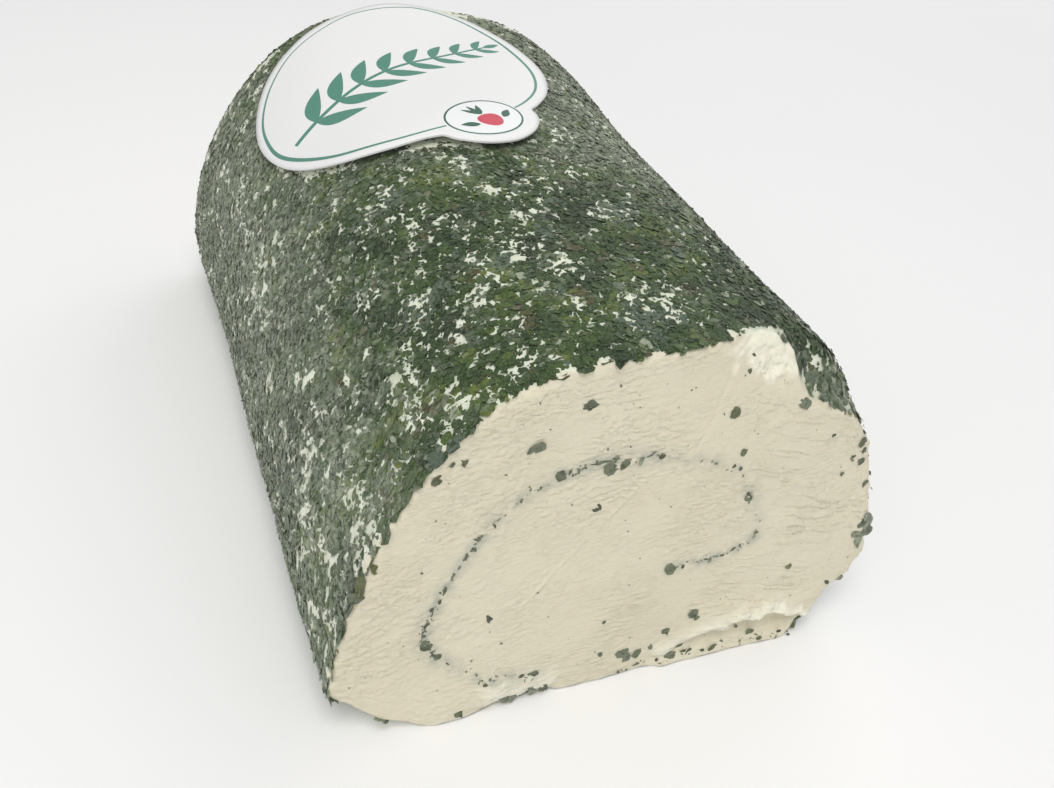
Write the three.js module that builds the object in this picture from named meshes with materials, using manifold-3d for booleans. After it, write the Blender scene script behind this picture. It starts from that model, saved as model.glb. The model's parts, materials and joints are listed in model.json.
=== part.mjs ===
// Herbed cheese roll: a log of soft white cheese rolled round a thin layer of herbs, coated with dried
// herb flakes and cut across at the front, with a die-cut card label lying on the far end of its crown.
// Millimetres, +Z up. The roll lies along Y on its flat base, with the cut face towards -Y.
// The origin is the middle of the base of the whole object's box.
import * as THREE from "three";
import { mergeVertices } from "three/addons/utils/BufferGeometryUtils.js";
import Module from "manifold-3d";

const wasm = await Module();
wasm.setup();

// Driving dimensions of the roll.
const ROLL_WIDTH = 145; // across the widest part, near the base
const ROLL_HEIGHT = 88; // of the crown at the cut face
const ROLL_LENGTH = 196; // from the foot of the cut face to the far end
const HEIGHT_GAIN = 0.07; // how much taller the far end is, as a share of the height
const RIGHT_SIDE = {
  full: 50, // where the right side counts in full
  taper: 0.06, // how much it narrows towards the far end
  gainLoss: 0.5, // the share of the height gain that it misses
};
const WIDEST_HEIGHT = 13; // where the sloped foot meets the dome
const BASE_HALF_WIDTH = 48; // half of the flat base
const FOOT_EXPONENT = 1.3; // 1 is a straight slope, 2 a round foot
const CROWN_EXPONENT = 1.73; // flatness of the crown
const SHOULDER_EXPONENT = 3.2; // squareness of the two shoulders
const CROWN_SIDESTEP = 3.5; // the crown sags this far towards +X
const CUT_LEAN = 0.192; // the cut face leans back by this share of the height
const FAR_EDGE_RADIUS = 4;

// Soft swells of the coated surface: waves round the roll and along it, fading out towards the base.
const SWELL_HEIGHT = 0.45;
const SWELL_FADE = { none: 4, full: 24 };
const SWELL_WAVES = [
  { across: 21, along: 33 },
  { across: -30, along: 17 },
  { across: 14, along: -12 },
];

// Relief of the cut face: a positive depth is a hollow, a negative one stands forward, and each fades away
// round its middle. In order: the foot that swells at the left, the sunk patch over the seam, the crown
// torn away at the right, and the ridge over the broken foot.
const FACE_RELIEF = [
  { x: -46, z: 0, wide: 15, high: 9, depth: -2.2 },
  { x: -25, z: 2, wide: 10, high: 5, depth: 1.6 },
  { x: 30, z: 86, wide: 17, high: 10, depth: 4 },
  { x: 43, z: 11, wide: 20, high: 4.5, depth: -2 },
];
const FOOT_CORNER = { from: 58, to: 74, high: 20, depth: 7 }; // the left corner of the foot is cut away
const FACE_WAVE = { depth: 0.5, wide: 13, high: 17 };

// Driving dimensions of the herb layer that the roll is rolled round.
const LAYER_THICKNESS = 0.8;
const LAYER_GAP = 0.3; // clearance of the layer in its slot

// Driving dimensions of the card label.
const CARD_THICKNESS = 0.6;
const CARD_GAP = 0.6; // from the cheese, where the card comes closest
const CARD_LIFT = 2.2; // how far the stiff front edge stands clear
const CARD_RISE = {
  forward: { from: 8, to: 46, share: 0.75 },
  sideways: { from: 24, to: 50, share: 0.45 },
};
const CARD_CENTRE = { across: -21, along: 150 }; // arc length from the crown, and place along the roll

// Driving dimensions of the herb flakes fused to the cheese.
const COAT_FLAKES = 158;
const COAT_FLAKE_RADIUS = { least: 2.2, most: 4.0 };
const FLAKE_SIDES = 6;
const FLAKE_PROUD = 0.8;
const FLAKE_SUNK = 0.9;
const FLAKE_SEED = 20771;
const FLAKE_MARGIN = { base: 14, cut: 3, farEnd: 8, card: 6 }; // how far the coat's flakes keep from each

// Meshing of the body.
const SECTION_POINTS = 60;
const STATIONS = 15;
const FACE_RINGS = 5;
const SECTION_SAMPLES = 60;
const FACE_CENTRE = { x: 0, z: 40 };

// A seeded random number between 0 and 1.
function seededRandom(seed) {
  let state = seed >>> 0;
  return () => {
    state = (state + 0x6d2b79f5) >>> 0;
    let t = state;
    t = Math.imul(t ^ (t >>> 15), t | 1);
    t ^= t + Math.imul(t ^ (t >>> 7), t | 61);
    return ((t ^ (t >>> 14)) >>> 0) / 4294967296;
  };
}

// The cross-section at the cut face, from the middle of the base round by +X and the crown.
function sectionCurve() {
  const half = [];
  const halfWidth = ROLL_WIDTH / 2;
  half.push(new THREE.Vector2(0, 0));
  for (let i = 0; i <= SECTION_SAMPLES / 3; i++) {
    const a = (i / (SECTION_SAMPLES / 3)) * (Math.PI / 2);
    half.push(
      new THREE.Vector2(
        BASE_HALF_WIDTH + (halfWidth - BASE_HALF_WIDTH) * Math.sin(a) ** (2 / FOOT_EXPONENT),
        WIDEST_HEIGHT * (1 - Math.cos(a) ** (2 / FOOT_EXPONENT)),
      ),
    );
  }
  for (let i = 1; i <= SECTION_SAMPLES; i++) {
    const a = (i / SECTION_SAMPLES) * (Math.PI / 2);
    half.push(
      new THREE.Vector2(
        halfWidth * Math.cos(a) ** (2 / SHOULDER_EXPONENT),
        WIDEST_HEIGHT + (ROLL_HEIGHT - WIDEST_HEIGHT) * Math.sin(a) ** (2 / CROWN_EXPONENT),
      ),
    );
  }
  const whole = [...half];
  for (let i = half.length - 2; i > 0; i--) {
    whole.push(new THREE.Vector2(-half[i].x, half[i].y));
  }
  for (const p of whole) {
    p.x += CROWN_SIDESTEP * (p.y / ROLL_HEIGHT) ** 2;
  }
  return whole;
}

// The same cross-section as a table of arc length, which runs from the crown, positive towards +X.
const sectionTable = (() => {
  const points = sectionCurve();
  const length = [0];
  for (let i = 1; i < points.length; i++) {
    length.push(length[i - 1] + points[i].distanceTo(points[i - 1]));
  }
  const girth = length[length.length - 1] + points[0].distanceTo(points[points.length - 1]);
  let crown = 0;
  points.forEach((p, i) => {
    if (p.y > points[crown].y) crown = i;
  });
  return { points, length, girth, crownLength: length[crown] };
})();

// A point of the cross-section by the distance round it from the middle of the base.
function sectionAt(distance) {
  const { points, length, girth } = sectionTable;
  const d = ((distance % girth) + girth) % girth;
  let i = 0;
  while (i < length.length - 1 && length[i + 1] <= d) i++;
  const next = i === points.length - 1 ? points[0] : points[i + 1];
  const span = (i === points.length - 1 ? girth : length[i + 1]) - length[i];
  return points[i].clone().lerp(next, (d - length[i]) / span);
}

// How far behind y = 0 the cut face lies at a point of the section.
function cutFaceDepth(x, z) {
  let depth = CUT_LEAN * z;
  for (const bump of FACE_RELIEF) {
    depth += bump.depth * Math.exp(-(((x - bump.x) / bump.wide) ** 2) - ((z - bump.z) / bump.high) ** 2);
  }
  const corner = THREE.MathUtils.smoothstep(-x, FOOT_CORNER.from, FOOT_CORNER.to);
  depth += FOOT_CORNER.depth * corner * Math.exp(-((z / FOOT_CORNER.high) ** 2));
  return depth + FACE_WAVE.depth * Math.sin(x / FACE_WAVE.wide) * Math.cos(z / FACE_WAVE.high);
}

// The height of the soft swells at a place of the coated surface.
function swell(across, y, z) {
  const waves = SWELL_WAVES.map((wave) => Math.sin(across / wave.across + y / wave.along));
  const total = waves.reduce((sum, wave) => sum + wave, 0);
  return SWELL_HEIGHT * total * THREE.MathUtils.smoothstep(z, SWELL_FADE.none, SWELL_FADE.full);
}

// A point of the coated surface: distance round the section, and the share of the way to the far end.
function surfacePoint(distance, share) {
  const flat = sectionAt(distance);
  const across = sectionTable.crownLength - distance;
  const right = THREE.MathUtils.smoothstep(flat.x, 0, RIGHT_SIDE.full);
  const taller = 1 + HEIGHT_GAIN * (1 - RIGHT_SIDE.gainLoss * right) * share;
  const front = cutFaceDepth(flat.x, flat.y);
  const x = flat.x * (1 - RIGHT_SIDE.taper * right * share);
  const y = front + (ROLL_LENGTH - front) * share;
  const z = flat.y * taller;
  const out = new THREE.Vector2(x, z - SWELL_FADE.full).normalize();
  const grow = swell(across, y, z);
  return new THREE.Vector3(x + out.x * grow, y, z + out.y * grow);
}

// A point lying on the coat, by arc length across from the crown and place along the roll, with its normal.
function coatPlace(across, along) {
  const distance = sectionTable.crownLength - across;
  const shareAt = (y) => {
    const flat = sectionAt(distance);
    const front = cutFaceDepth(flat.x, flat.y);
    return (y - front) / (ROLL_LENGTH - front);
  };
  const step = 1.5;
  const here = surfacePoint(distance, shareAt(along));
  const beside = surfacePoint(distance - step, shareAt(along));
  const beyond = surfacePoint(distance, shareAt(along + step));
  const round = beside.sub(here).normalize();
  const lengthwise = beyond.sub(here).normalize();
  const normal = new THREE.Vector3().crossVectors(round, lengthwise).normalize();
  return { here, round, lengthwise, normal };
}

// A geometry from rings of points of one length, closed by fans onto a last point at either end.
function skinOfRings(rings, firstMiddle, lastMiddle) {
  const count = rings[0].length;
  const positions = [];
  const faces = [];
  rings.forEach((ring) => ring.forEach((p) => positions.push(p.x, p.y, p.z)));
  const first = rings.length * count;
  positions.push(firstMiddle.x, firstMiddle.y, firstMiddle.z);
  positions.push(lastMiddle.x, lastMiddle.y, lastMiddle.z);
  for (let r = 0; r < rings.length - 1; r++) {
    for (let i = 0; i < count; i++) {
      const a = r * count + i;
      const b = r * count + ((i + 1) % count);
      faces.push(a, a + count, b, b, a + count, b + count);
    }
  }
  for (let i = 0; i < count; i++) {
    const next = (i + 1) % count;
    const last = (rings.length - 1) * count;
    faces.push(first, i, next);
    faces.push(first + 1, last + next, last + i);
  }
  const geometry = new THREE.BufferGeometry();
  geometry.setAttribute("position", new THREE.Float32BufferAttribute(positions, 3));
  geometry.setIndex(faces);
  return geometry;
}

// A closed geometry as a solid that can be joined and cut.
function toSolid(geometry) {
  const bare = geometry.clone();
  bare.deleteAttribute("normal");
  bare.deleteAttribute("uv");
  const merged = mergeVertices(bare, 1e-4);
  const solid = new wasm.Manifold(
    new wasm.Mesh({
      numProp: 3,
      vertProperties: new Float32Array(merged.attributes.position.array),
      triVerts: new Uint32Array(merged.index.array),
    }),
  );
  if (solid.volume() < 0) throw new Error("a solid is inside out");
  return solid;
}

// A solid back as a geometry, without the scraps that a cut leaves loose.
function toGeometry(solid) {
  const pieces = solid.decompose();
  pieces.sort((a, b) => b.volume() - a.volume());
  const mesh = pieces[0].getMesh();
  const position = new Float32Array(mesh.numVert * 3);
  for (let i = 0; i < mesh.numVert; i++) {
    position.set(mesh.vertProperties.subarray(i * mesh.numProp, i * mesh.numProp + 3), i * 3);
  }
  const geometry = new THREE.BufferGeometry();
  geometry.setAttribute("position", new THREE.BufferAttribute(position, 3));
  geometry.setIndex(new THREE.BufferAttribute(mesh.triVerts, 1));
  geometry.computeVertexNormals();
  return geometry;
}

// The bare body of cheese, before its flakes and its slot.
function bodySolid() {
  const distances = [];
  for (let i = 0; i < SECTION_POINTS; i++) {
    distances.push((i / SECTION_POINTS) * sectionTable.girth);
  }
  const faceRing = (shrink) =>
    distances.map((d) => {
      const rim = surfacePoint(d, 0);
      const x = FACE_CENTRE.x + (rim.x - FACE_CENTRE.x) * shrink;
      const z = FACE_CENTRE.z + (rim.z - FACE_CENTRE.z) * shrink;
      return new THREE.Vector3(x, cutFaceDepth(x, z), z);
    });
  const farRing = (inset, y) =>
    distances.map((d) => {
      const rim = surfacePoint(d, 1);
      const away = new THREE.Vector2(rim.x, rim.z - FACE_CENTRE.z);
      const keep = rim.z < 1 ? 1 : 1 - inset / away.length();
      return new THREE.Vector3(away.x * keep, y, rim.z < 1 ? rim.z : FACE_CENTRE.z + away.y * keep);
    });
  const rings = [];
  for (let r = 1; r <= FACE_RINGS; r++) rings.push(faceRing(r / FACE_RINGS));
  for (let s = 1; s <= STATIONS; s++) {
    const share = (s / STATIONS) * (1 - FAR_EDGE_RADIUS / ROLL_LENGTH);
    rings.push(distances.map((d) => surfacePoint(d, share)));
  }
  const halfTurn = FAR_EDGE_RADIUS * (1 - Math.SQRT1_2);
  rings.push(farRing(halfTurn, ROLL_LENGTH - halfTurn));
  rings.push(farRing(FAR_EDGE_RADIUS, ROLL_LENGTH));
  const frontMiddle = new THREE.Vector3(
    FACE_CENTRE.x,
    cutFaceDepth(FACE_CENTRE.x, FACE_CENTRE.z),
    FACE_CENTRE.z,
  );
  const farMiddle = new THREE.Vector3(FACE_CENTRE.x, ROLL_LENGTH, FACE_CENTRE.z);
  return toSolid(skinOfRings(rings, frontMiddle, farMiddle));
}

// The line of the herb layer in the section, from the seam under the roll in to the core.
const LAYER_LINE = new THREE.CatmullRomCurve3(
  [
    [-23, 7.5],
    [-36, 10],
    [-46.5, 17],
    [-52, 26],
    [-48, 38],
    [-38, 53],
    [-26, 61],
    [-8, 64],
    [8, 61.5],
    [22, 56.5],
    [30, 45],
    [33, 36],
    [22, 31.5],
    [9.5, 31],
  ].map(([x, z]) => new THREE.Vector3(x, z, 0)),
  false,
  "centripetal",
);
const LAYER_STEPS = 44;

// The herb layer as a rolled sheet of some thickness, running past both ends of the roll.
function layerSheet(thickness) {
  const points = LAYER_LINE.getSpacedPoints(LAYER_STEPS);
  const sides = [1, -1].map((side) =>
    points.map((p, i) => {
      const along = LAYER_LINE.getTangentAt(i / LAYER_STEPS);
      const half = (side * thickness) / 2;
      return new THREE.Vector2(p.x - along.y * half, p.y + along.x * half);
    }),
  );
  const outline = new THREE.Shape([...sides[0], ...sides[1].reverse()]);
  const margin = 20;
  const sheet = new THREE.ExtrudeGeometry(outline, {
    depth: ROLL_LENGTH + 2 * margin,
    bevelEnabled: false,
  });
  sheet.rotateX(Math.PI / 2);
  sheet.translate(0, ROLL_LENGTH + margin, 0);
  return toSolid(sheet);
}

// One herb flake: an irregular flat scale, sunk into what it lies on.
function flakeSolid(place, radius, random) {
  const turn = random() * 2 * Math.PI;
  const narrow = 0.6 + 0.35 * random();
  const rim = [];
  for (let i = 0; i < FLAKE_SIDES; i++) {
    const a = (i / FLAKE_SIDES) * 2 * Math.PI;
    const r = radius * (0.72 + 0.38 * random());
    const u = r * Math.cos(a);
    const v = r * narrow * Math.sin(a);
    rim.push([u * Math.cos(turn) - v * Math.sin(turn), u * Math.sin(turn) + v * Math.cos(turn)]);
  }
  const lay = (scale, height) =>
    rim.map(([u, v]) =>
      place.here
        .clone()
        .addScaledVector(place.round, u * scale)
        .addScaledVector(place.lengthwise, v * scale)
        .addScaledVector(place.normal, height),
    );
  const middle = (height) => place.here.clone().addScaledVector(place.normal, height);
  const proud = FLAKE_PROUD * (0.75 + 0.5 * random());
  const rings = [lay(0.82, proud), lay(1, -FLAKE_SUNK)];
  return toSolid(skinOfRings(rings, middle(proud * 1.15), middle(-FLAKE_SUNK)));
}

// The card label's outline round its centre: across the roll, and along it. One corner carries an oval lobe.
const CARD_POINTS = 64;
const CARD_RINGS = 5;
const CARD_OUTLINE = new THREE.CatmullRomCurve3(
  [
    [7, 44.9],
    [-9, 41.2],
    [-25, 36.4],
    [-37, 28.8],
    [-44.7, 17.9],
    [-48.2, 4],
    [-45.8, -11.5],
    [-38.5, -25.8],
    [-27.5, -37.3],
    [-16.5, -43],
    [-6, -43.8],
    [-3.6, -44],
    [-1.5, -46.2],
    [6, -48.9],
    [15, -47.4],
    [22.5, -41.6],
    [26.2, -34.5],
    [26.1, -29.9],
    [29.1, -26.9],
    [36, -18],
    [40.3, -6],
    [40.2, 8],
    [37, 23],
    [30.5, 34.8],
    [20, 42],
  ].map(([across, along]) => new THREE.Vector3(across, along, 0)),
  true,
  "centripetal",
);
const CARD_RIM = CARD_OUTLINE.getSpacedPoints(CARD_POINTS).slice(0, CARD_POINTS);

// The card's height above the coat: it touches down behind its middle and its front edge stands clear.
function cardClearance(across, along) {
  const { forward, sideways } = CARD_RISE;
  const ahead = THREE.MathUtils.smoothstep(-along, forward.from, forward.to);
  const beside = THREE.MathUtils.smoothstep(Math.abs(across), sideways.from, sideways.to);
  return CARD_GAP + CARD_LIFT * (forward.share * ahead + sideways.share * beside);
}

// A point of the card, by its place in the outline and its height over the card's underside.
function cardPoint(across, along, height) {
  const place = coatPlace(CARD_CENTRE.across + across, CARD_CENTRE.along + along);
  return place.here.addScaledVector(place.normal, cardClearance(across, along) + height);
}

// The card label, bent over the crown.
function cardGeometry() {
  const sheet = (height) => {
    const rings = [];
    for (let r = 1; r <= CARD_RINGS; r++) {
      const scale = r / CARD_RINGS;
      rings.push(CARD_RIM.map((p) => cardPoint(p.x * scale, p.y * scale, height)));
    }
    return rings;
  };
  const over = sheet(CARD_THICKNESS);
  const under = sheet(0).reverse();
  return skinOfRings([...over, ...under], cardPoint(0, 0, CARD_THICKNESS), cardPoint(0, 0, 0));
}

// Whether a place on the coat lies under the card, or within a margin of its edge.
function underCard(across, along, margin) {
  const u = across - CARD_CENTRE.across;
  const v = along - CARD_CENTRE.along;
  let inside = false;
  let nearest = Infinity;
  CARD_RIM.forEach((a, i) => {
    const b = CARD_RIM[(i + 1) % CARD_POINTS];
    nearest = Math.min(nearest, Math.hypot(a.x - u, a.y - v));
    const crosses = a.y > v !== b.y > v;
    if (crosses && u < a.x + ((b.x - a.x) * (v - a.y)) / (b.y - a.y)) inside = !inside;
  });
  return inside || nearest < margin;
}

// The largest flakes of the coat, spread evenly: each is the candidate farthest from those already laid.
function coatFlakes() {
  const random = seededRandom(FLAKE_SEED);
  const candidates = 14;
  const laid = [];
  const reach = sectionTable.crownLength - BASE_HALF_WIDTH - FLAKE_MARGIN.base;
  const solids = [];
  while (laid.length < COAT_FLAKES) {
    let best = null;
    for (let c = 0; c < candidates; c++) {
      const across = (2 * random() - 1) * reach;
      const flat = sectionAt(sectionTable.crownLength - across);
      const front = cutFaceDepth(flat.x, flat.y) + FLAKE_MARGIN.cut;
      const along = front + random() * (ROLL_LENGTH - FLAKE_MARGIN.farEnd - front);
      const room = Math.min(ROLL_LENGTH, ...laid.map((q) => Math.hypot(q.across - across, q.along - along)));
      if (underCard(across, along, FLAKE_MARGIN.card)) continue;
      if (!best || room > best.room) best = { across, along, room };
    }
    if (!best) continue;
    laid.push(best);
    const share = 1 - laid.length / COAT_FLAKES;
    const spread = COAT_FLAKE_RADIUS.most - COAT_FLAKE_RADIUS.least;
    const radius = COAT_FLAKE_RADIUS.least + spread * share * (0.5 + 0.5 * random());
    solids.push(flakeSolid(coatPlace(best.across, best.along), radius, random));
  }
  return solids;
}

// The larger flakes that show in the cut face: where each lies in the section, and its radius.
const FACE_FLAKES = [
  { x: 71.5, z: 30, radius: 4.4 },
  { x: 1, z: 7.5, radius: 2.9 },
  { x: 6, z: 7, radius: 2.4 },
  { x: -11.5, z: 61, radius: 2.8 },
  { x: -23.5, z: 62, radius: 2.4 },
  { x: -65, z: 43, radius: 3.2 },
  { x: 28, z: 48, radius: 2.2 },
  { x: 48, z: 69, radius: 2.6 },
  { x: -19, z: 79, radius: 1.9 },
  { x: -30, z: 70, radius: 1.9 },
  { x: -51, z: 23.5, radius: 1.9 },
  { x: -37, z: 27.5, radius: 1.7 },
  { x: 18.5, z: 71.5, radius: 1.7 },
];

// The larger flakes of the cut face as solids.
function faceFlakes() {
  const random = seededRandom(FLAKE_SEED + 1);
  return FACE_FLAKES.map(({ x, z, radius }) => {
    const step = 1;
    const here = new THREE.Vector3(x, cutFaceDepth(x, z), z);
    const round = new THREE.Vector3(x + step, cutFaceDepth(x + step, z), z).sub(here).normalize();
    const lengthwise = new THREE.Vector3(x, cutFaceDepth(x, z + step), z + step).sub(here).normalize();
    const normal = new THREE.Vector3().crossVectors(round, lengthwise).normalize();
    return flakeSolid({ here, round, lengthwise, normal }, radius, random);
  });
}

// Moves the finished pieces so that the origin is the middle of the base of their box.
function seatOnOrigin(group) {
  const box = new THREE.Box3().setFromObject(group);
  const middle = box.getCenter(new THREE.Vector3());
  group.children.forEach((mesh) => mesh.geometry.translate(-middle.x, -middle.y, -box.min.z));
}

// One named piece with its finish.
function named(name, geometry, colour, roughness) {
  const material = new THREE.MeshStandardMaterial({ color: colour, roughness, metalness: 0 });
  const mesh = new THREE.Mesh(geometry, material);
  mesh.name = name;
  return mesh;
}

const body = bodySolid();
const herbLayer = layerSheet(LAYER_THICKNESS).intersect(body);
const slot = layerSheet(LAYER_THICKNESS + 2 * LAYER_GAP);
const coated = wasm.Manifold.union([body, ...coatFlakes(), ...faceFlakes()]);

const roll = new THREE.Group();
roll.add(named("cheese_roll", toGeometry(coated.subtract(slot)), 0x4f5f3c, 0.7));
roll.add(named("herb_layer", toGeometry(herbLayer), 0x56604a, 0.8));
roll.add(named("card_label", cardGeometry(), 0xdfe3e4, 0.55));
seatOnOrigin(roll);

export default roll;
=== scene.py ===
"""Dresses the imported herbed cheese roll: its cheese, its coat of herbs, the herb layer and the card label.

Sizes are in millimetres in the roll's own frame, unless a name says otherwise: x is across, from the middle
of the base; y runs along the roll, from the foot of the cut face to the far end; z is up. RollShape.to_frame
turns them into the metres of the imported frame.
"""

import enum
import itertools
import json
import logging
import math
from collections.abc import Sequence
from dataclasses import astuple, dataclass, field

import bpy
import numpy as np
from mathutils import Matrix, Vector

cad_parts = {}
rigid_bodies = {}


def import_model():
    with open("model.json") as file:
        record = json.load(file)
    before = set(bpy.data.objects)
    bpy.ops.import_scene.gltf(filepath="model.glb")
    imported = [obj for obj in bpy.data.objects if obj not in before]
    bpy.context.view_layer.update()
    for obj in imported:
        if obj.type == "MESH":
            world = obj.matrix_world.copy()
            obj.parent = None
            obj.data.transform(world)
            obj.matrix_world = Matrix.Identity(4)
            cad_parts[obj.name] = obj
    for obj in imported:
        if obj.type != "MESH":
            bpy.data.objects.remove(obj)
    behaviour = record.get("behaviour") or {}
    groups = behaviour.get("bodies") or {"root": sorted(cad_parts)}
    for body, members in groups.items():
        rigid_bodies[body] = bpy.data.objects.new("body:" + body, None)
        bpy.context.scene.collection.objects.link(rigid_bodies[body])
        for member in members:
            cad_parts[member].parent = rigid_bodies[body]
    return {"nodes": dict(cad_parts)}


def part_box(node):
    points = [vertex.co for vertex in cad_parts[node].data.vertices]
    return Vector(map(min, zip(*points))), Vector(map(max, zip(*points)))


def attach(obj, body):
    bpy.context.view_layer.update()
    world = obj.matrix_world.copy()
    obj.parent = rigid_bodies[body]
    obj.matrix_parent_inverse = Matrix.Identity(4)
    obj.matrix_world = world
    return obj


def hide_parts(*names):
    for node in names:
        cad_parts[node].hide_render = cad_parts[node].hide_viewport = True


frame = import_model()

Array = np.ndarray
Colour = tuple[float, float, float]
Point = tuple[float, float]
Texture = tuple[float, ...]
Socket = bpy.types.NodeSocket
Material = bpy.types.Material
Piece = bpy.types.Object

METRE = 1000.0
TINY = 1e-9
HASH_STEP = np.uint64(0x9E3779B97F4A7C15)
HASH_FOLD = np.uint64(31)
HASH_DROP = np.uint64(40)
HASH_HALF = 2**23
SCREEN_FULL = 255.0
SCREEN_KNEE = 0.04045
SCREEN_SLOPE = 12.92
SCREEN_SHIFT = 0.055
SCREEN_SCALE = 1.055
SCREEN_POWER = 2.4
CURVE_STEPS = 24
FLAKE_THICKNESS = (0.8, 1.3)

# The tones of herbs that have lain in moist cheese: greyer and more olive than those of the coat.
MOIST_TONES = (
    *((0.0, (52, 58, 40)), (0.3, (70, 78, 52)), (0.6, (88, 94, 56))),
    *((0.8, (108, 112, 54)), (0.9, (104, 108, 88)), (1.0, (104, 94, 66))),
)

log = logging.getLogger("cheese_roll")


def smoothstep(value: Array, low: float, high: float) -> Array:
    """Rises smoothly from 0 at low to 1 at high."""
    t = np.clip((value - low) / (high - low), 0.0, 1.0)
    return t * t * (3.0 - 2.0 * t)


def unit(vectors: Array) -> Array:
    """Scales each vector, along the last axis, to a length of 1."""
    return vectors / np.maximum(np.linalg.norm(vectors, axis=-1, keepdims=True), TINY)


def linear(colour: Colour) -> tuple[float, float, float, float]:
    """Turns a screen colour into a linear one.

    Args:
        colour: Red, green and blue, from 0 to 255.

    Returns:
        The linear colour, with a last value of 1 because it is opaque.
    """
    shares = [c / SCREEN_FULL for c in colour]
    bright = [((s + SCREEN_SHIFT) / SCREEN_SCALE) ** SCREEN_POWER for s in shares]
    return (*(s / SCREEN_SLOPE if s <= SCREEN_KNEE else b for s, b in zip(shares, bright)), 1.0)


def blend(t: Array, low: float, high: float, a: Array, b: Array) -> Array:
    """Runs straight from a, where t is low, to b, where t is high."""
    return (high - t) / (high - low) * a + (t - low) / (high - low) * b


def smooth_curve(points: Sequence[Sequence[float]], count: int, closed: bool) -> Array:
    """Runs a centripetal curve through some points and spaces new points evenly along it.

    Args:
        points: The points that the curve runs through, with as many numbers each as the new points need.
        count: How many points to return.
        closed: Whether the curve returns to its first point.

    Returns:
        The new points, one row each. A closed curve doesn't repeat its first point.
    """
    known = np.array(points, float)
    if closed:
        known = np.concatenate([known[-1:], known, known[:2]])
    else:
        known = np.concatenate([2 * known[:1] - known[1:2], known, 2 * known[-1:] - known[-2:-1]])
    dense = []
    for a, b, c, d in zip(known[:-3], known[1:-2], known[2:-1], known[3:]):
        gaps = [max(float(np.linalg.norm(q - p)) ** 0.5, 1e-6) for p, q in ((a, b), (b, c), (c, d))]
        ta, tb = 0.0, gaps[0]
        tc, td = tb + gaps[1], tb + gaps[1] + gaps[2]
        t = np.linspace(tb, tc, CURVE_STEPS, endpoint=False)[:, None]
        ab, bc, cd = blend(t, ta, tb, a, b), blend(t, tb, tc, b, c), blend(t, tc, td, c, d)
        dense.append(blend(t, tb, tc, blend(t, ta, tc, ab, bc), blend(t, tb, td, bc, cd)))
    dense.append(known[-2:-1])
    line = np.concatenate(dense)
    run = np.concatenate([[0.0], np.cumsum(np.linalg.norm(np.diff(line, axis=0), axis=1))])
    places = np.linspace(0.0, run[-1], count, endpoint=not closed)
    return np.stack([np.interp(places, run, column) for column in line.T], 1)


def inside_outline(points: Array, outline: Array) -> Array:
    """Says which points lie inside a closed outline.

    Args:
        points: The points to test, one row each.
        outline: The corners of the outline, one row each.

    Returns:
        One truth value for each point.
    """
    inside = np.zeros(len(points), bool)
    for a, b in zip(outline, np.roll(outline, -1, axis=0)):
        crosses = (a[1] > points[:, 1]) != (b[1] > points[:, 1])
        if crosses.any():
            at = a[0] + (b[0] - a[0]) * (points[:, 1] - a[1]) / (b[1] - a[1] + 1e-12)
            inside ^= crosses & (points[:, 0] < at)
    return inside


@dataclass(frozen=True)
class SmoothNoise:
    """Seeded noise that runs smoothly between -1 and 1 over any number of coordinates."""

    seed: int

    def _corner(self, cell: Sequence[Array]) -> Array:
        """Gives the fixed random value of each lattice corner.

        Args:
            cell: The corner's whole number along each axis.

        Returns:
            The values, from -1 to 1.
        """
        mixed = np.full(np.shape(cell[0]), self.seed + 1, np.uint64) * HASH_STEP
        for axis in cell:
            mixed = (mixed ^ axis.astype(np.uint64)) * HASH_STEP
            mixed ^= mixed >> HASH_FOLD
        return (mixed >> HASH_DROP).astype(float) / HASH_HALF - 1.0

    def at(self, *coordinates: Array) -> Array:
        """Reads the noise.

        Args:
            coordinates: One array for each axis, in lattice cells.

        Returns:
            The noise at each place.
        """
        axes = np.broadcast_arrays(*(np.asarray(c, float) for c in coordinates))
        cells = [np.floor(axis).astype(np.int64) for axis in axes]
        eases = [smoothstep(axis - cell, 0.0, 1.0) for axis, cell in zip(axes, cells)]
        total = np.zeros(axes[0].shape)
        for steps in itertools.product((0, 1), repeat=len(axes)):
            weight = np.ones(axes[0].shape)
            for ease, step in zip(eases, steps):
                weight = weight * (ease if step else 1.0 - ease)
            total += weight * self._corner([cell + step for cell, step in zip(cells, steps)])
        return total


@dataclass(frozen=True)
class Grain:
    """One grain of unevenness: its strength, the size of its cells either way, and where it starts."""

    strength: float
    long: float
    high: float = 1.0
    start: float = 0.0
    start_high: float = 0.0

    def of(self, noise: SmoothNoise, u: Array, v: Array | float = 0.0) -> Array:
        """Reads the grain from some noise."""
        return self.strength * noise.at(u / self.long + self.start, v / self.high + self.start_high)

    def along(self, noise: SmoothNoise, u: Array) -> Array:
        """Reads the grain from noise that varies along one axis only."""
        return self.strength * noise.at(u / self.long + self.start)


@dataclass(frozen=True)
class Rise:
    """A share that rises smoothly from 0 at one place to its top at another."""

    low: float
    high: float
    top: float = 1.0

    def at(self, value: Array) -> Array:
        """Reads the share."""
        return self.top * smoothstep(value, self.low, self.high)

    def rest(self, value: Array) -> Array:
        """Reads what the share leaves of a whole."""
        return 1.0 - self.at(value)


@dataclass(frozen=True)
class FaceBump:
    """A swell or hollow of the cut face: a positive depth is a hollow."""

    x: float
    z: float
    wide: float
    high: float
    depth: float

    def at(self, x: Array, z: Array) -> Array:
        """Gives the depth of the bump at each place."""
        return self.depth * np.exp(-(((x - self.x) / self.wide) ** 2) - ((z - self.z) / self.high) ** 2)


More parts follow.
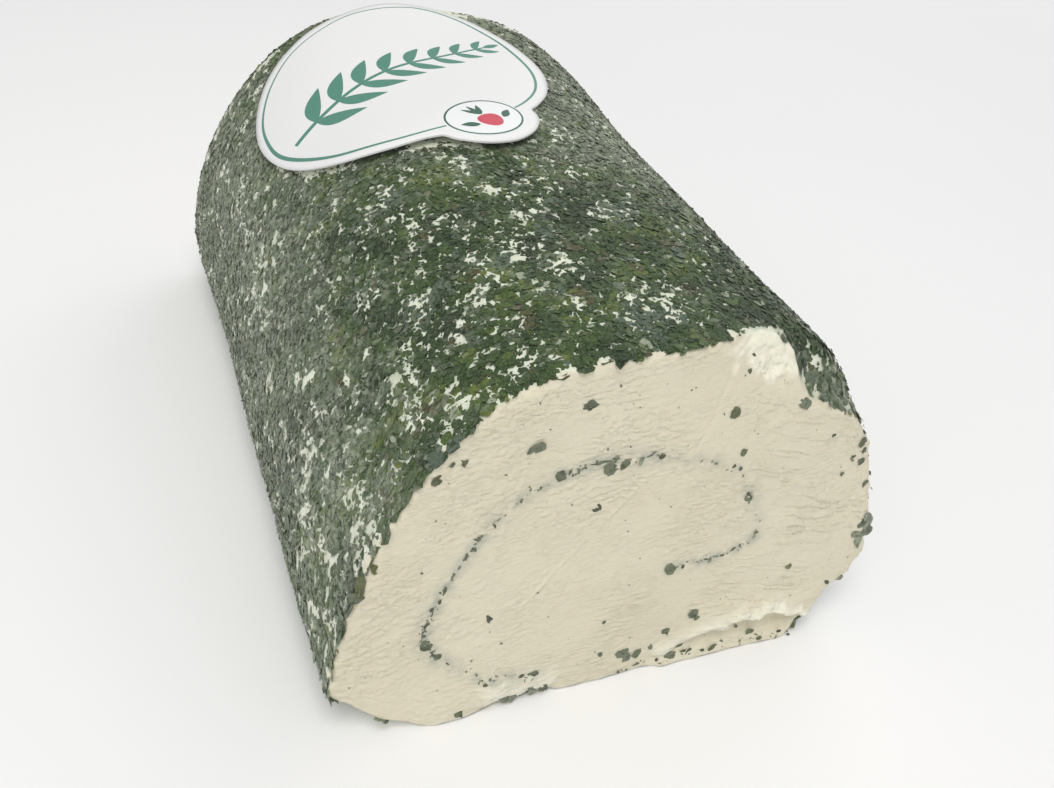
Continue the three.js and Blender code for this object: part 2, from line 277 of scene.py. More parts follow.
@dataclass(frozen=True)
class RimDent:
    """A stretch of the cut's rim that is pressed in towards the middle, and runs out along the side."""

    x: float
    z: float
    wide: float
    high: float
    depth: float
    reach: float

    def at(self, x: Array, z: Array, behind: Array) -> Array:
        """Gives how far the side is pressed in, at a distance behind the cut."""
        spread = np.exp(-(((x - self.x) / self.wide) ** 2) - ((z - self.z) / self.high) ** 2)
        return self.depth * spread * (1.0 - smoothstep(behind, 0.0, self.reach))


@dataclass
class Places:
    """Places on a surface, each with its own three axes."""

    here: Array
    across: Array
    along: Array
    normal: Array

    @staticmethod
    def stepped(here: Array, beside: Array, beyond: Array) -> "Places":
        """Makes places whose axes run to points a short step aside and a short step on.

        Args:
            here: The places.
            beside: The points a step aside.
            beyond: The points a step on.

        Returns:
            The places with their axes.
        """
        across = unit(beside - here)
        normal = unit(np.cross(across, unit(beyond - here)))
        return Places(here, across, np.cross(normal, across), normal)

    @staticmethod
    def level(here: Array, *axes: Sequence[float]) -> "Places":
        """Makes places that all have the same axes."""
        return Places(here, *(np.tile(np.array(axis, float), (len(here), 1)) for axis in axes))


@dataclass
class RollShape:
    """The form of the roll: its section, its cut face and the soft swells of its coat."""

    width: float = 145.0
    height: float = 88.0
    length: float = 196.0
    height_gain: float = 0.07
    right_full: float = 50.0
    right_taper: float = 0.06
    right_gain_loss: float = 0.5
    widest_height: float = 13.0
    base_half_width: float = 48.0
    foot_exponent: float = 1.3
    crown_exponent: float = 1.73
    shoulder_exponent: float = 3.2
    crown_sidestep: float = 3.5
    cut_lean: float = 0.192
    far_edge_radius: float = 4.0
    face_middle: Point = (0.0, 40.0)
    swell_height: float = 0.45
    swell_fade: Point = (4.0, 24.0)
    swell_waves: tuple[Point, ...] = ((21.0, 33.0), (-30.0, 17.0), (14.0, -12.0))
    face_relief: tuple[FaceBump, ...] = (
        FaceBump(-46.0, 0.0, 15.0, 9.0, -1.2),
        FaceBump(-25.0, 2.0, 10.0, 5.0, 1.6),
        FaceBump(30.0, 86.0, 17.0, 10.0, 4.0),
        FaceBump(43.0, 11.0, 20.0, 4.5, -2.0),
    )
    dents: tuple[RimDent, ...] = (
        RimDent(47.5, 77.0, 14.0, 12.0, 10.5, 9.0),
        RimDent(70.0, 9.0, 12.0, 9.0, 8.5, 18.0),
    )
    foot_corner: Rise = Rise(58.0, 74.0)
    foot_corner_high: float = 20.0
    foot_corner_depth: float = 3.0
    face_wave_depth: float = 0.5
    face_wave: Point = (13.0, 17.0)
    foot_points: int = 21
    dome_points: int = 61
    base_flat: float = 0.2
    far_edge_share: float = 0.98
    points: Array = field(init=False)
    run: Array = field(init=False)
    crown_length: float = field(init=False)
    offset: Array = field(init=False)

    def __post_init__(self) -> None:
        """Works out the section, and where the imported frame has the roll."""
        half = self.width / 2
        foot = np.linspace(0.0, math.pi / 2, self.foot_points)
        dome = np.linspace(0.0, math.pi / 2, self.dome_points)[1:]
        foot_power = 2 / self.foot_exponent
        spread = self.base_half_width + (half - self.base_half_width) * np.sin(foot) ** foot_power
        lift = self.widest_height * (1 - np.cos(foot) ** foot_power)
        rise = self.height - self.widest_height
        crown = self.widest_height + rise * np.sin(dome) ** (2 / self.crown_exponent)
        x = np.concatenate([[0.0], spread, half * np.cos(dome) ** (2 / self.shoulder_exponent)])
        z = np.concatenate([[0.0], lift, crown])
        x = np.concatenate([x, -x[-2:0:-1], [0.0]])
        z = np.concatenate([z, z[-2:0:-1], [0.0]])
        x = x + self.crown_sidestep * (z / self.height) ** 2
        self.points = np.stack([x, z], 1)
        self.run = np.concatenate([[0.0], np.cumsum(np.hypot(np.diff(x), np.diff(z)))])
        self.crown_length = float(self.run[z.argmax()])
        self.offset = self._offset()

    def _offset(self) -> Array:
        """Finds what takes the roll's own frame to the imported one, from the flat base and the far end.

        Returns:
            The shift along x, y and z.
        """
        mesh = frame["nodes"]["cheese_roll"].data
        corners = np.zeros(len(mesh.vertices) * 3, np.float32)
        mesh.vertices.foreach_get("co", corners)
        corners = corners.reshape(-1, 3) * METRE
        base = corners[corners[:, 2] < corners[:, 2].min() + self.base_flat]
        middle = (base[:, 0].min() + base[:, 0].max()) / 2
        return np.array([middle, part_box("cheese_roll")[1].y * METRE - self.length, 0.0])

    def to_frame(self, points: Array) -> Array:
        """Turns points of the roll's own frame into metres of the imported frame."""
        return (np.asarray(points) + self.offset) / METRE

    def section(self, distance: Array) -> tuple[Array, Array]:
        """Gives the x and z of the section at a distance round it, from the middle of the base."""
        wrapped = np.mod(distance, self.run[-1])
        return tuple(np.interp(wrapped, self.run, column) for column in self.points.T)

    def cut_depth(self, x: Array, z: Array) -> Array:
        """Says how far behind y = 0 the cut face lies.

        Args:
            x: Places across the section.
            z: Places up the section.

        Returns:
            The depth at each place.
        """
        depth = self.cut_lean * z + sum(bump.at(x, z) for bump in self.face_relief)
        corner = self.foot_corner.at(-x)
        depth += self.foot_corner_depth * corner * np.exp(-((z / self.foot_corner_high) ** 2))
        return depth + self.face_wave_depth * np.sin(x / self.face_wave[0]) * np.cos(z / self.face_wave[1])

    def swell(self, across: Array, y: Array, z: Array) -> Array:
        """Gives the height of the soft swells of the coat."""
        waves = sum(np.sin(across / a + y / b) for a, b in self.swell_waves)
        return self.swell_height * waves * smoothstep(z, *self.swell_fade)

    def surface(self, distance: Array, share: Array) -> Array:
        """Gives points of the coated surface.

        Args:
            distance: How far round the section, from the middle of the base.
            share: The share of the way from the cut face to the far end.

        Returns:
            The points, with x, y and z along the last axis.
        """
        distance, share = np.broadcast_arrays(distance, share)
        x, low_z = self.section(distance)
        front = self.cut_depth(x, low_z)
        right = smoothstep(x, 0.0, self.right_full)
        x = x * (1 - self.right_taper * right * share)
        y = front + (self.length - front) * share
        z = low_z * (1 + self.height_gain * (1 - self.right_gain_loss * right) * share)
        out = unit(np.stack([x, z - self.swell_fade[1]], -1))
        grow = self.swell(self.crown_length - distance, y, z)
        flat = np.stack([x, z], -1)
        pressed = sum(dent.at(x, low_z, y - front) for dent in self.dents)
        flat = flat + out * grow[..., None] + unit(np.array(self.face_middle) - flat) * pressed[..., None]
        return np.stack([flat[..., 0], y, flat[..., 1]], -1)

    def inside_rim(self, distance: Array, reach: Array) -> tuple[Array, Array]:
        """Gives the x and z of places between the middle of the cut face and its rim.

        Args:
            distance: How far round the section each place's rim point lies.
            reach: The share of the way out to the rim.

        Returns:
            The x and the z of each place.
        """
        rim = self.surface(distance, 0.0)
        middle_x, middle_z = self.face_middle
        return middle_x + (rim[:, 0] - middle_x) * reach, middle_z + (rim[:, 2] - middle_z) * reach

    def share_at(self, distance: Array, along: Array) -> Array:
        """Gives the share of the way to the far end of places at some length along the roll."""
        front = self.cut_depth(*self.section(distance))
        return (along - front) / (self.length - front)

    def coat_places(self, across: Array, along: Array) -> Places:
        """Finds places on the coat, with their axes.

        Args:
            across: Arc length from the crown, positive towards +x.
            along: Place along the roll.

        Returns:
            The places, with normals that point out of the roll.
        """
        distance = self.crown_length - across
        step = 1.5
        here = self.surface(distance, self.share_at(distance, along))
        beside = self.surface(distance - step, self.share_at(distance, along))
        beyond = self.surface(distance, self.share_at(distance, along + step))
        return Places.stepped(here, beside, beyond)

    def round_far_edge(self, places: Places, along: Array) -> Places:
        """Moves places near the far end onto the rounded edge there.

        Args:
            places: Places on the coat.
            along: How far along the roll each lies.

        Returns:
            The places, with those near the far end moved and turned.
        """
        radius = self.far_edge_radius
        over = np.clip(along - (self.length - radius), 0.0, self.far_edge_share * radius)
        drop = radius - np.sqrt(radius**2 - over**2)
        here = places.here - places.normal * drop[:, None]
        lean = (over / radius)[:, None]
        normal = unit(places.normal * np.sqrt(1 - lean**2) + places.along * lean)
        return Places(here, places.across, np.cross(normal, places.across), normal)

    def face_places(self, x: Array, z: Array) -> Places:
        """Finds places on the cut face.

        Args:
            x: Where they lie across the face.
            z: Where they lie up the face.

        Returns:
            The places, with normals that point out of the face.
        """
        step = 1.0
        here = np.stack([x, self.cut_depth(x, z), z], -1)
        beside = np.stack([x + step, self.cut_depth(x + step, z), z], -1)
        above = np.stack([x, self.cut_depth(x, z + step), z + step], -1)
        return Places.stepped(here, beside, above)


class Graph:
    """A node tree that is being built."""

    def __init__(self, tree: bpy.types.NodeTree) -> None:
        """Starts on a tree."""
        self.tree = tree

    def add(self, kind: str, values: dict | None = None, **settings: object) -> bpy.types.Node:
        """Adds a node.

        Args:
            kind: The node's type.
            values: Its inputs by name or number: a socket is linked, anything else is set.
            settings: The node's own settings.

        Returns:
            The node.
        """
        node = self.tree.nodes.new(kind)
        for name, setting in settings.items():
            setattr(node, name, setting)
        for name, value in (values or {}).items():
            if isinstance(value, Socket):
                self.tree.links.new(value, node.inputs[name])
            else:
                node.inputs[name].default_value = value
        return node

    def link(self, source: Socket, target: Socket) -> None:
        """Links two sockets."""
        self.tree.links.new(source, target)

    def place(self, scale: Sequence[float] = (1, 1, 1), turn: Sequence[float] = (0, 0, 0)) -> Socket:
        """Gives the object's own coordinates in millimetres.

        Args:
            scale: How far they are stretched along each axis, once turned.
            turn: The angles by which they are turned first, in radians.

        Returns:
            The coordinates.
        """
        own = self.add("ShaderNodeTexCoord").outputs["Object"]
        turned = self.add("ShaderNodeMapping", {"Vector": own, "Rotation": turn}).outputs["Vector"]
        wanted = [METRE * s for s in scale]
        return self.add("ShaderNodeMapping", {"Vector": turned, "Scale": wanted}).outputs["Vector"]

    def noise(self, place: Socket, scale: float, detail: float = 2.0, roughness: float = 0.5) -> Socket:
        """Adds a noise texture and gives its value."""
        values = {"Vector": place, "Scale": scale, "Detail": detail, "Roughness": roughness}
        return self.add("ShaderNodeTexNoise", values).outputs["Fac"]

    def between(self, value: Socket, low: float, high: float, bottom: float = 0, top: float = 1) -> Socket:
        """Maps the range from low to high onto the one from bottom to top, and stops at its ends."""
        values = {"Value": value, "From Min": low, "From Max": high, "To Min": bottom, "To Max": top}
        return self.add("ShaderNodeMapRange", values, clamp=True).outputs["Result"]

    def bumped(self, shader: bpy.types.Node, height: Socket, strength: float, distance: float) -> None:
        """Gives a shader a fine relief, whose greatest depth is in metres."""
        bump = self.add("ShaderNodeBump", {"Height": height, "Strength": strength, "Distance": distance})
        self.link(bump.outputs["Normal"], shader.inputs["Normal"])

    def times(self, a: object, b: object) -> Socket:
        """Multiplies two values."""
        return self.add("ShaderNodeMath", {0: a, 1: b}, operation="MULTIPLY").outputs[0]

    def plus(self, a: object, b: object) -> Socket:
        """Adds two values."""
        return self.add("ShaderNodeMath", {0: a, 1: b}, operation="ADD").outputs[0]

    def mix(self, share: object, a: object, b: object) -> Socket:
        """Mixes two colours."""
        return self.add("ShaderNodeMix", {0: share, 6: a, 7: b}, data_type="RGBA").outputs[2]

    def ramp(self, value: Socket, stops: Sequence[tuple[float, Colour]]) -> Socket:
        """Adds a colour ramp.

        Args:
            value: What the ramp reads, from 0 to 1.
            stops: The place and the screen colour of each stop.

        Returns:
            The ramp's colour.
        """
        node = self.add("ShaderNodeValToRGB", {"Fac": value})
        elements = node.color_ramp.elements
        while len(elements) < len(stops):
            elements.new(0.5)
        for element, (place, colour) in zip(elements, stops):
            element.position = place
            element.color = linear(colour)
        return node.outputs["Color"]

    def attribute(self, name: str) -> Socket:
        """Reads a number that the mesh carries at each corner point."""
        return self.add("ShaderNodeAttribute", attribute_name=name, attribute_type="GEOMETRY").outputs["Fac"]


def new_material(name: str) -> tuple[Material, Graph, bpy.types.Node]:
    """Starts a material.

    Args:
        name: The material's name.

    Returns:
        The material, its graph and its surface shader.
    """
    material = bpy.data.materials.new(name)
    material.use_nodes = True
    material.node_tree.nodes.clear()
    graph = Graph(material.node_tree)
    shader = graph.add("ShaderNodeBsdfPrincipled")
    graph.add("ShaderNodeOutputMaterial", {"Surface": shader.outputs["BSDF"]})
    return material, graph, shader


@dataclass(frozen=True)
class CheeseFinish:
    """Soft white cheese: cream, finely torn where the wire cut it, and stained where herbs lie on it; with
    painted shade along the ripples of the cut, and painted light on the torn patch that faces up.
    """

    cream: Colour = (227, 221, 199)
    deep_cream: Colour = (219, 211, 186)
    torn_and_lit_cream: Colour = (241, 238, 219)
    coat_cream: Colour = (232, 235, 216)
    herb_stain: Colour = (150, 162, 130)
    layer_stain: Colour = (158, 165, 155)
    roughness: Texture = (0.3, 0.7, 0.48, 0.66)
    ripple_turn: float = 5.0
    ripple_cells: Texture = (0.42, 0.35, 1.35)
    ripple_noise: Texture = (1.0, 3.0, 0.55)
    ripple_range: Texture = (0.5, 0.58)
    ripple_shade: float = 0.18
    patch_noise: Texture = (0.07, 2.0)
    patch_range: Texture = (0.4, 0.6, 0.25, 1.0)
    grain_noise: Texture = (0.9, 4.0, 0.6)
    cream_noise: Texture = (0.035, 3.0)
    stain_noise: Texture = (0.22, 3.0)
    stain_range: Texture = (0.4, 0.75, 0.0, 0.55)
    halo_noise: Texture = (0.35, 2.0)
    halo_range: Texture = (0.3, 0.65)
    halo_share: float = 0.75
    ripple_relief: float = 0.7
    grain_relief: float = 0.4
    bump: Point = (0.5, 0.0005)
    glow: float = 0.2
    glow_reach: tuple[float, float, float] = (1.0, 0.7, 0.4)
    glow_scale: float = 0.0025

    def build(self) -> Material:
        """Makes the material.

        Returns:
            The material.
        """
        material, graph, shader = new_material("soft_cheese")
        cut = graph.attribute("cut")
        torn = graph.attribute("torn")
        place = graph.place()
        turn = (0.0, math.radians(self.ripple_turn), 0.0)
        ripple_noise = graph.noise(graph.place(self.ripple_cells, turn), *self.ripple_noise)
        patches = graph.between(graph.noise(place, *self.patch_noise), *self.patch_range)
        ripples = graph.times(graph.between(ripple_noise, *self.ripple_range), graph.times(cut, patches))
        grain = graph.noise(place, *self.grain_noise)
        cream = graph.mix(graph.noise(place, *self.cream_noise), linear(self.cream), linear(self.deep_cream))
        # Painted shade: the cream is darkened where the ripples of the cut run, standing in for the shade in
        # their small hollows.
        cream = graph.mix(graph.times(ripples, self.ripple_shade), cream, linear(self.deep_cream))
        # Paler where the cheese is freshly torn: partly the torn cheese's own colour, partly painted light on
        # the torn patch at the top of the face, which faces up.
        cream = graph.mix(torn, cream, linear(self.torn_and_lit_cream))
        stain = graph.between(graph.noise(place, *self.stain_noise), *self.stain_range)
        coated = graph.between(cut, 0.0, 1.0, 1.0, 0.0)
        cream = graph.mix(coated, cream, linear(self.coat_cream))
        cream = graph.mix(graph.times(stain, coated), cream, linear(self.herb_stain))
        uneven = graph.between(graph.noise(place, *self.halo_noise), *self.halo_range)
        halo = graph.times(graph.attribute("halo"), uneven)
        colour = graph.mix(graph.times(halo, self.halo_share), cream, linear(self.layer_stain))
        graph.link(colour, shader.inputs["Base Color"])
        graph.link(graph.between(grain, *self.roughness), shader.inputs["Roughness"])
        relief = graph.plus(graph.times(ripples, self.ripple_relief), graph.times(grain, self.grain_relief))
        graph.bumped(shader, relief, *self.bump)
        shader.inputs["Subsurface Weight"].default_value = self.glow
        shader.inputs["Subsurface Radius"].default_value = self.glow_reach
        shader.inputs["Subsurface Scale"].default_value = self.glow_scale
        return material


@dataclass(frozen=True)
class HerbFinish:
    """Dried herb flakes: each carries a tone and a pale share, which is cheese smeared over it and, on the
    coat, also a painted sheen.
    """

    name: str
    tones: tuple[tuple[float, Colour], ...] = (
        *((0.0, (32, 52, 27)), (0.3, (48, 73, 33)), (0.6, (68, 94, 38))),
        *((0.8, (106, 118, 46)), (0.9, (86, 105, 90)), (1.0, (84, 80, 50))),
    )
    shadow: Colour = (24, 32, 20)
    vein: Colour = (140, 152, 112)
    smear: Colour = (154, 162, 142)
    roughness: Texture = (0.3, 0.7, 0.5, 0.75)
    half: float = 0.5
    mottle_noise: Texture = (1.5, 4.0, 0.65)
    mottle_range: Texture = (0.4, 0.58)
    speckle_noise: Texture = (2.6, 3.0, 0.65)
    speckle_range: Texture = (0.52, 0.64, 0.0, 0.6)
    smear_and_sheen_noise: Texture = (0.6, 2.0)
    smear_and_sheen_range: Texture = (0.3, 0.6)
    crumple_noise: Texture = (2.2, 3.0, 0.6)
    crumple_share: float = 0.6
    bump: Point = (0.6, 0.0004)
    gloss: float = 0.35
    sheen: float = 0.14

    def build(self) -> Material:
        """Makes the material.

        Returns:
            The material.
        """
        material, graph, shader = new_material(self.name)
        place = graph.place()
        mottle = graph.noise(place, *self.mottle_noise)
        tone = graph.ramp(graph.attribute("tone"), self.tones)
        dark = graph.mix(self.half, tone, linear(self.shadow))
        colour = graph.mix(graph.between(mottle, *self.mottle_range), dark, tone)
        speckle = graph.between(graph.noise(place, *self.speckle_noise), *self.speckle_range)
        colour = graph.mix(speckle, colour, graph.mix(self.half, tone, linear(self.vein)))
        # The pale share mixes in a grey-green: cheese smeared over the flake, and on the coat also a painted
        # sheen for light caught at a grazing angle.
        uneven = graph.between(graph.noise(place, *self.smear_and_sheen_noise), *self.smear_and_sheen_range)
        smeared = graph.times(graph.attribute("pale"), uneven)
        colour = graph.mix(smeared, colour, linear(self.smear))
        graph.link(colour, shader.inputs["Base Color"])
        graph.link(graph.between(mottle, *self.roughness), shader.inputs["Roughness"])
        fine = graph.noise(place, *self.crumple_noise)
        graph.bumped(shader, graph.plus(mottle, graph.times(fine, self.crumple_share)), *self.bump)
        shader.inputs["Specular IOR Level"].default_value = self.gloss
        shader.inputs["Sheen Weight"].default_value = self.sheen
        shader.inputs["Sheen Roughness"].default_value = self.half
        return material


@dataclass(frozen=True)
class CardFinish:
    """Smooth white board with a faint fibre."""

    white: Colour = (243, 243, 243)
    shade: Colour = (233, 233, 234)
    fibre_noise: Texture = (1.6, 4.0, 0.7)
    bump: Point = (0.15, 0.0001)
    roughness: float = 0.5

    def build(self) -> Material:
        """Makes the material.

        Returns:
            The material.
        """
        material, graph, shader = new_material("label_board")
        fibre = graph.noise(graph.place(), *self.fibre_noise)
        graph.link(graph.mix(fibre, linear(self.white), linear(self.shade)), shader.inputs["Base Color"])
        graph.bumped(shader, fibre, *self.bump)
        shader.inputs["Roughness"].default_value = self.roughness
        return material


@dataclass(frozen=True)
class InkFinish:
    """Flat printing ink, a little uneven on the board."""

    name: str
    colour: Colour
    thin: Colour
    cover_noise: Texture = (0.9, 4.0, 0.7)
    cover_range: Texture = (0.4, 0.7, 0.0, 0.6)
    roughness: float = 0.45

    def build(self) -> Material:
        """Makes the material.

        Returns:
            The material.
        """
        material, graph, shader = new_material(self.name)
        cover = graph.between(graph.noise(graph.place(), *self.cover_noise), *self.cover_range)
        graph.link(graph.mix(cover, linear(self.colour), linear(self.thin)), shader.inputs["Base Color"])
        shader.inputs["Roughness"].default_value = self.roughness
        return material


def new_piece(name: str, points: Array, faces: Sequence[Sequence[int]], material: Material) -> Piece:
    """Makes a mesh object at the origin.

    Args:
        name: The piece's name.
        points: Its corner points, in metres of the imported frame.
        faces: Its faces, as corner numbers.
        material: Its finish.

    Returns:
        The object, linked to the scene.
    """
    mesh = bpy.data.meshes.new(name)
    mesh.from_pydata(np.asarray(points).tolist(), [], faces)
    mesh.materials.append(material)
    mesh.update()
    piece = bpy.data.objects.new(name, mesh)
    bpy.context.scene.collection.objects.link(piece)
    return piece


def set_attribute(mesh: bpy.types.Mesh, name: str, values: Array) -> None:
    """Stores a number at each corner point of a mesh."""
    mesh.attributes.new(name, "FLOAT", "POINT").data.foreach_set("value", values.astype(np.float32))


def skin_faces(counts: Sequence[int]) -> list[tuple[int, ...]]:
    """Lists the faces of a skin of rings, with a fan onto a last point at either end.

    Args:
        counts: How many points each ring has: as many as the ring before it, twice as many or half as many.

    Returns:
        The faces. The two fan points come after the rings.
    """
    faces: list[tuple[int, ...]] = []
    starts = [0, *itertools.accumulate(counts)]
    for ring, (count, following) in enumerate(itertools.pairwise(counts)):
        a, b = starts[ring], starts[ring + 1]
        fewer = min(count, following)
        for i in range(fewer):
            j = (i + 1) % fewer
            left, middle, right = 2 * i, 2 * i + 1, 2 * j
            if count == following:
                faces.append((a + i, b + i, b + j, a + j))
            elif count < following:
                faces += [(a + i, b + left, b + middle), (a + i, b + middle, a + j)]
                faces.append((a + j, b + middle, b + right))
            else:
                faces += [(a + left, b + i, a + middle), (a + middle, b + i, b + j)]
                faces.append((a + middle, b + j, a + right))
    first, last = starts[-1], starts[-2]
    faces += [(first, i, (i + 1) % counts[0]) for i in range(counts[0])]
    faces += [(first + 1, last + (i + 1) % counts[-1], last + i) for i in range(counts[-1])]
    return faces


def hand_in(piece: Piece, slot: str, *nodes: str) -> None:
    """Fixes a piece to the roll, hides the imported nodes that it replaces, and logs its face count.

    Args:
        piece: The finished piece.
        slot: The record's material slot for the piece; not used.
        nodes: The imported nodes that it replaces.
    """
    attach(piece, "root")
    if nodes:
        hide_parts(*nodes)
    log.info("%s: %d faces", piece.name, len(piece.data.polygons))


@dataclass(frozen=True)
class KnifeSmear:
    """A straight trace of the knife down the cut face, with the cheese smoothed on its left."""

    top: Point
    foot: Point
    ridge: float
    smooth: float
    ridge_half: float = 0.45
    calm_in: Rise = Rise(-0.6, 0.4)
    calm_share: float = 0.6
    runs_in: Rise = Rise(-2.0, 3.0)
    runs_out: Rise = Rise(-3.0, 2.0)

    def at(self, x: Array, z: Array) -> tuple[Array, Array]:
        """Reads the smear.

        Args:
            x: Places across the face.
            z: Places up the face.

        Returns:
            The height of its ridge, and how far the smear calms the torn surface.
        """
        line = np.array(self.foot) - np.array(self.top)
        length = float(np.hypot(*line))
        down, side = line / length, np.array([-line[1], line[0]]) / length
        along = (x - self.top[0]) * down[0] + (z - self.top[1]) * down[1]
        off = (x - self.top[0]) * side[0] + (z - self.top[1]) * side[1]
        within = self.runs_in.at(along) * self.runs_out.rest(along - length)
        calm = self.calm_in.at(off) * (1.0 - smoothstep(off, self.calm_share * self.smooth, self.smooth))
        return self.ridge * np.exp(-((off / self.ridge_half) ** 2)) * within, calm * within


@dataclass(frozen=True)
class TornLip:
    """A torn lip near the foot of the cut face: the cheese under it is sunk, and may flare out again."""

    line: tuple[Point, ...]
    drop: float
    crest: float
    crest_high: float
    flare: float = 0.0
    flare_high: float = 4.0
    runs_in: Rise = Rise(-1.0, 3.0)
    runs_out: Rise = Rise(-3.0, 1.0)
    break_high: float = 0.35
    crest_place: float = 0.35
    crest_spread: float = 0.6

    def at(self, x: Array, z: Array, ragged: Array) -> tuple[Array, Array]:
        """Reads the lip.

        Args:
            x: Places across the face.
            z: Places up the face.
            ragged: How far the lip strays from its line.

        Returns:
            How far the face is sunk, and how pale the torn crest is.
        """
        xs, zs = np.array(self.line).T
        over = z - np.interp(x, xs, zs) - ragged
        within = self.runs_in.at(x - xs[0]) * self.runs_out.rest(x - xs[-1])
        under = 1.0 - smoothstep(over, -self.break_high, 0.0)
        off_crest = (over - self.crest_place * self.crest_high) / (self.crest_spread * self.crest_high)
        crest = np.exp(-(off_crest**2)) * (1.0 - under)
        sunk = self.drop * under - self.crest * crest
        sunk -= self.flare * under * (1.0 - smoothstep(z, 0.0, self.flare_high))
        return sunk * within, crest * within


@dataclass
class CutSurface:
    """The torn surface that the knife leaves: ripples, smears, crumbs and broken lips."""

    seed: int = 7
    swells: tuple[Grain, ...] = (Grain(0.13, 4.6, 3.8, 0.0, 11.0), Grain(0.05, 1.1, 1.1, 0.0, 4.0))
    ripple_height: float = 0.27
    ripple_size: Point = (1.15, 0.68)
    ripple_start: float = 20.0
    ripple_edge: Rise = Rise(0.08, 0.38)
    ripple_back: float = 0.5
    longer: Rise = Rise(25.0, 60.0, 0.7)
    crisp: Rise = Rise(18.0, 42.0, 0.85)
    crisp_below: Rise = Rise(48.0, 62.0)
    droop_degrees: float = -12.0
    droop: Rise = Rise(-40.0, 60.0)
    bends: tuple[Grain, Grain, Grain] = (
        Grain(1.2, 8.0, 5.0),
        Grain(0.7, 9.0, 6.0, 5.0),
        Grain(0.28, 1.6, 1.6, 0.0, 70.0),
    )
    patches: Grain = Grain(1.0, 12.0, 9.0, 3.0, 7.0)
    patch_edge: Rise = Rise(-0.35, 0.25, 0.8)
    patch_least: float = 0.2
    crumb_height: float = 0.65
    crumbs: tuple[Grain, ...] = (Grain(1.0, 2.3, 1.9), Grain(0.7, 5.5, 4.5), Grain(0.5, 1.0, 0.9))
    crown_tear: FaceBump = FaceBump(30.0, 84.5, 15.0, 8.0, 1.0)
    tear_grain: Grain = Grain(0.2, 3.4, 2.6)
    tear_edge: Rise = Rise(0.36, 0.62)
    lip_edge: Grain = Grain(0.9, 2.3, 1.0, 30.0)
    lip_grain: Grain = Grain(0.3, 1.5, 1.5)
    lip_pale: float = 0.85
    lip_gain: float = 1.25
    ridge_grain: Grain = Grain(0.5, 3.0, 3.0)
    ridge_least: float = 0.75
    smear_calm: float = 0.8
    smears: tuple[KnifeSmear, ...] = (
        KnifeSmear((-30.0, 71.0), (-39.0, 37.0), 0.22, 6.0),
        KnifeSmear((1.5, 61.0), (-32.5, 25.5), 0.3, 17.0),
        KnifeSmear((17.0, 83.0), (9.0, 62.0), -0.25, 8.0),
        KnifeSmear((-36.5, 29.0), (-33.5, 12.0), 0.15, 1.5),
    )
    lips: tuple[TornLip, ...] = (
        TornLip(
            ((9, 3.2), (16, 4), (20, 5.4), (28, 7.2), (33, 9), (41, 10.4), (46, 10), (52, 6.8), (59, 3.6)),
            drop=2.6,
            crest=1.1,
            crest_high=3.6,
            flare=4.2,
            flare_high=7.0,
        ),
        TornLip(((-38, 2.2), (-31, 1.8), (-26, 1.9), (-21, 2.4), (-17, 2.6)), 0.6, crest=1.6, crest_high=6.0),
    )

    def torn(self, x: Array, z: Array) -> Array:
        """Says how far a place of the cut face belongs to freshly torn cheese, which is drawn paler, partly
        as painted light on the torn patch that faces up.

        Args:
            x: Places across the face.
            z: Places up the face.

        Returns:
            The share of torn cheese at each place.
        """
        ragged = SmoothNoise(self.seed + 1)
        crown = self.tear_edge.at(self.crown_tear.at(x, z) + self.tear_grain.of(ragged, x, z))
        edge = self.lip_edge.of(ragged, x)
        crests = [lip.at(x, z, edge)[1] for lip in self.lips]
        crests = np.clip(self.lip_gain * sum(crests), 0.0, 1.0)
        return np.maximum(crown, crests * (self.lip_pale + self.lip_grain.of(ragged, x, z)))

    def _ripples(self, x: Array, z: Array) -> Array:
        """Gives the ripples that the knife drags up, crisper and longer towards the right.

        Args:
            x: Places across the face.
            z: Places up the face.

        Returns:
            Their height at each place.
        """
        noise = SmoothNoise(self.seed + 2)
        droop = math.radians(self.droop_degrees) * self.droop.at(x)
        along, across, jitter = (bend.of(noise, x, z) for bend in self.bends)
        u = x * np.cos(droop) + z * np.sin(droop) + along
        v = z * np.cos(droop) - x * np.sin(droop) + across + jitter
        long, thick = self.ripple_size
        long = long * (1.0 + self.longer.at(x))
        flap = self.ripple_edge.at(noise.at(u / long + self.ripple_start, v / thick))
        back = self.ripple_edge.at(noise.at(u / long + self.ripple_start, v / thick + 0.5))
        patches = self.patch_least + self.patch_edge.at(self.patches.of(noise, x, z))
        crisp = 1.0 + self.crisp.at(x) * self.crisp_below.rest(z)
        return self.ripple_height * crisp * (flap - self.ripple_back * back) * patches

    def sunk(self, x: Array, z: Array) -> Array:
        """Gives how far the fine relief sinks the face.

        Args:
            x: Places across the face.
            z: Places up the face.

        Returns:
            The depth at each place.
        """
        noise = SmoothNoise(self.seed + 2)
        calm = np.zeros(np.shape(x))
        total = sum(swell.of(noise, x, z) for swell in self.swells)
        for smear in self.smears:
            ridge, calmed = smear.at(x, z)
            total = total - ridge * (self.ridge_least + self.ridge_grain.of(noise, x, z))
            calm = np.maximum(calm, calmed)
        total = total - self._ripples(x, z) * (1.0 - self.smear_calm * calm)
        edge = self.lip_edge.of(SmoothNoise(self.seed + 1), x)
        for lip in self.lips:
            total = total + lip.at(x, z, edge)[0]
        crumbs = sum(crumb.of(noise, x, z) for crumb in self.crumbs)
        return total + self.crumb_height * self.torn(x, z) * crumbs

    def level(self, x: Array, z: Array, reach: float = 0.8) -> Array:
        """Gives the mean sunk depth round each place."""
        around = ((0.0, 0.0), (reach, 0.0), (-reach, 0.0), (0.0, reach), (0.0, -reach))
        return sum(self.sunk(x + a, np.maximum(z + b, 0.0)) for a, b in around) / len(around)


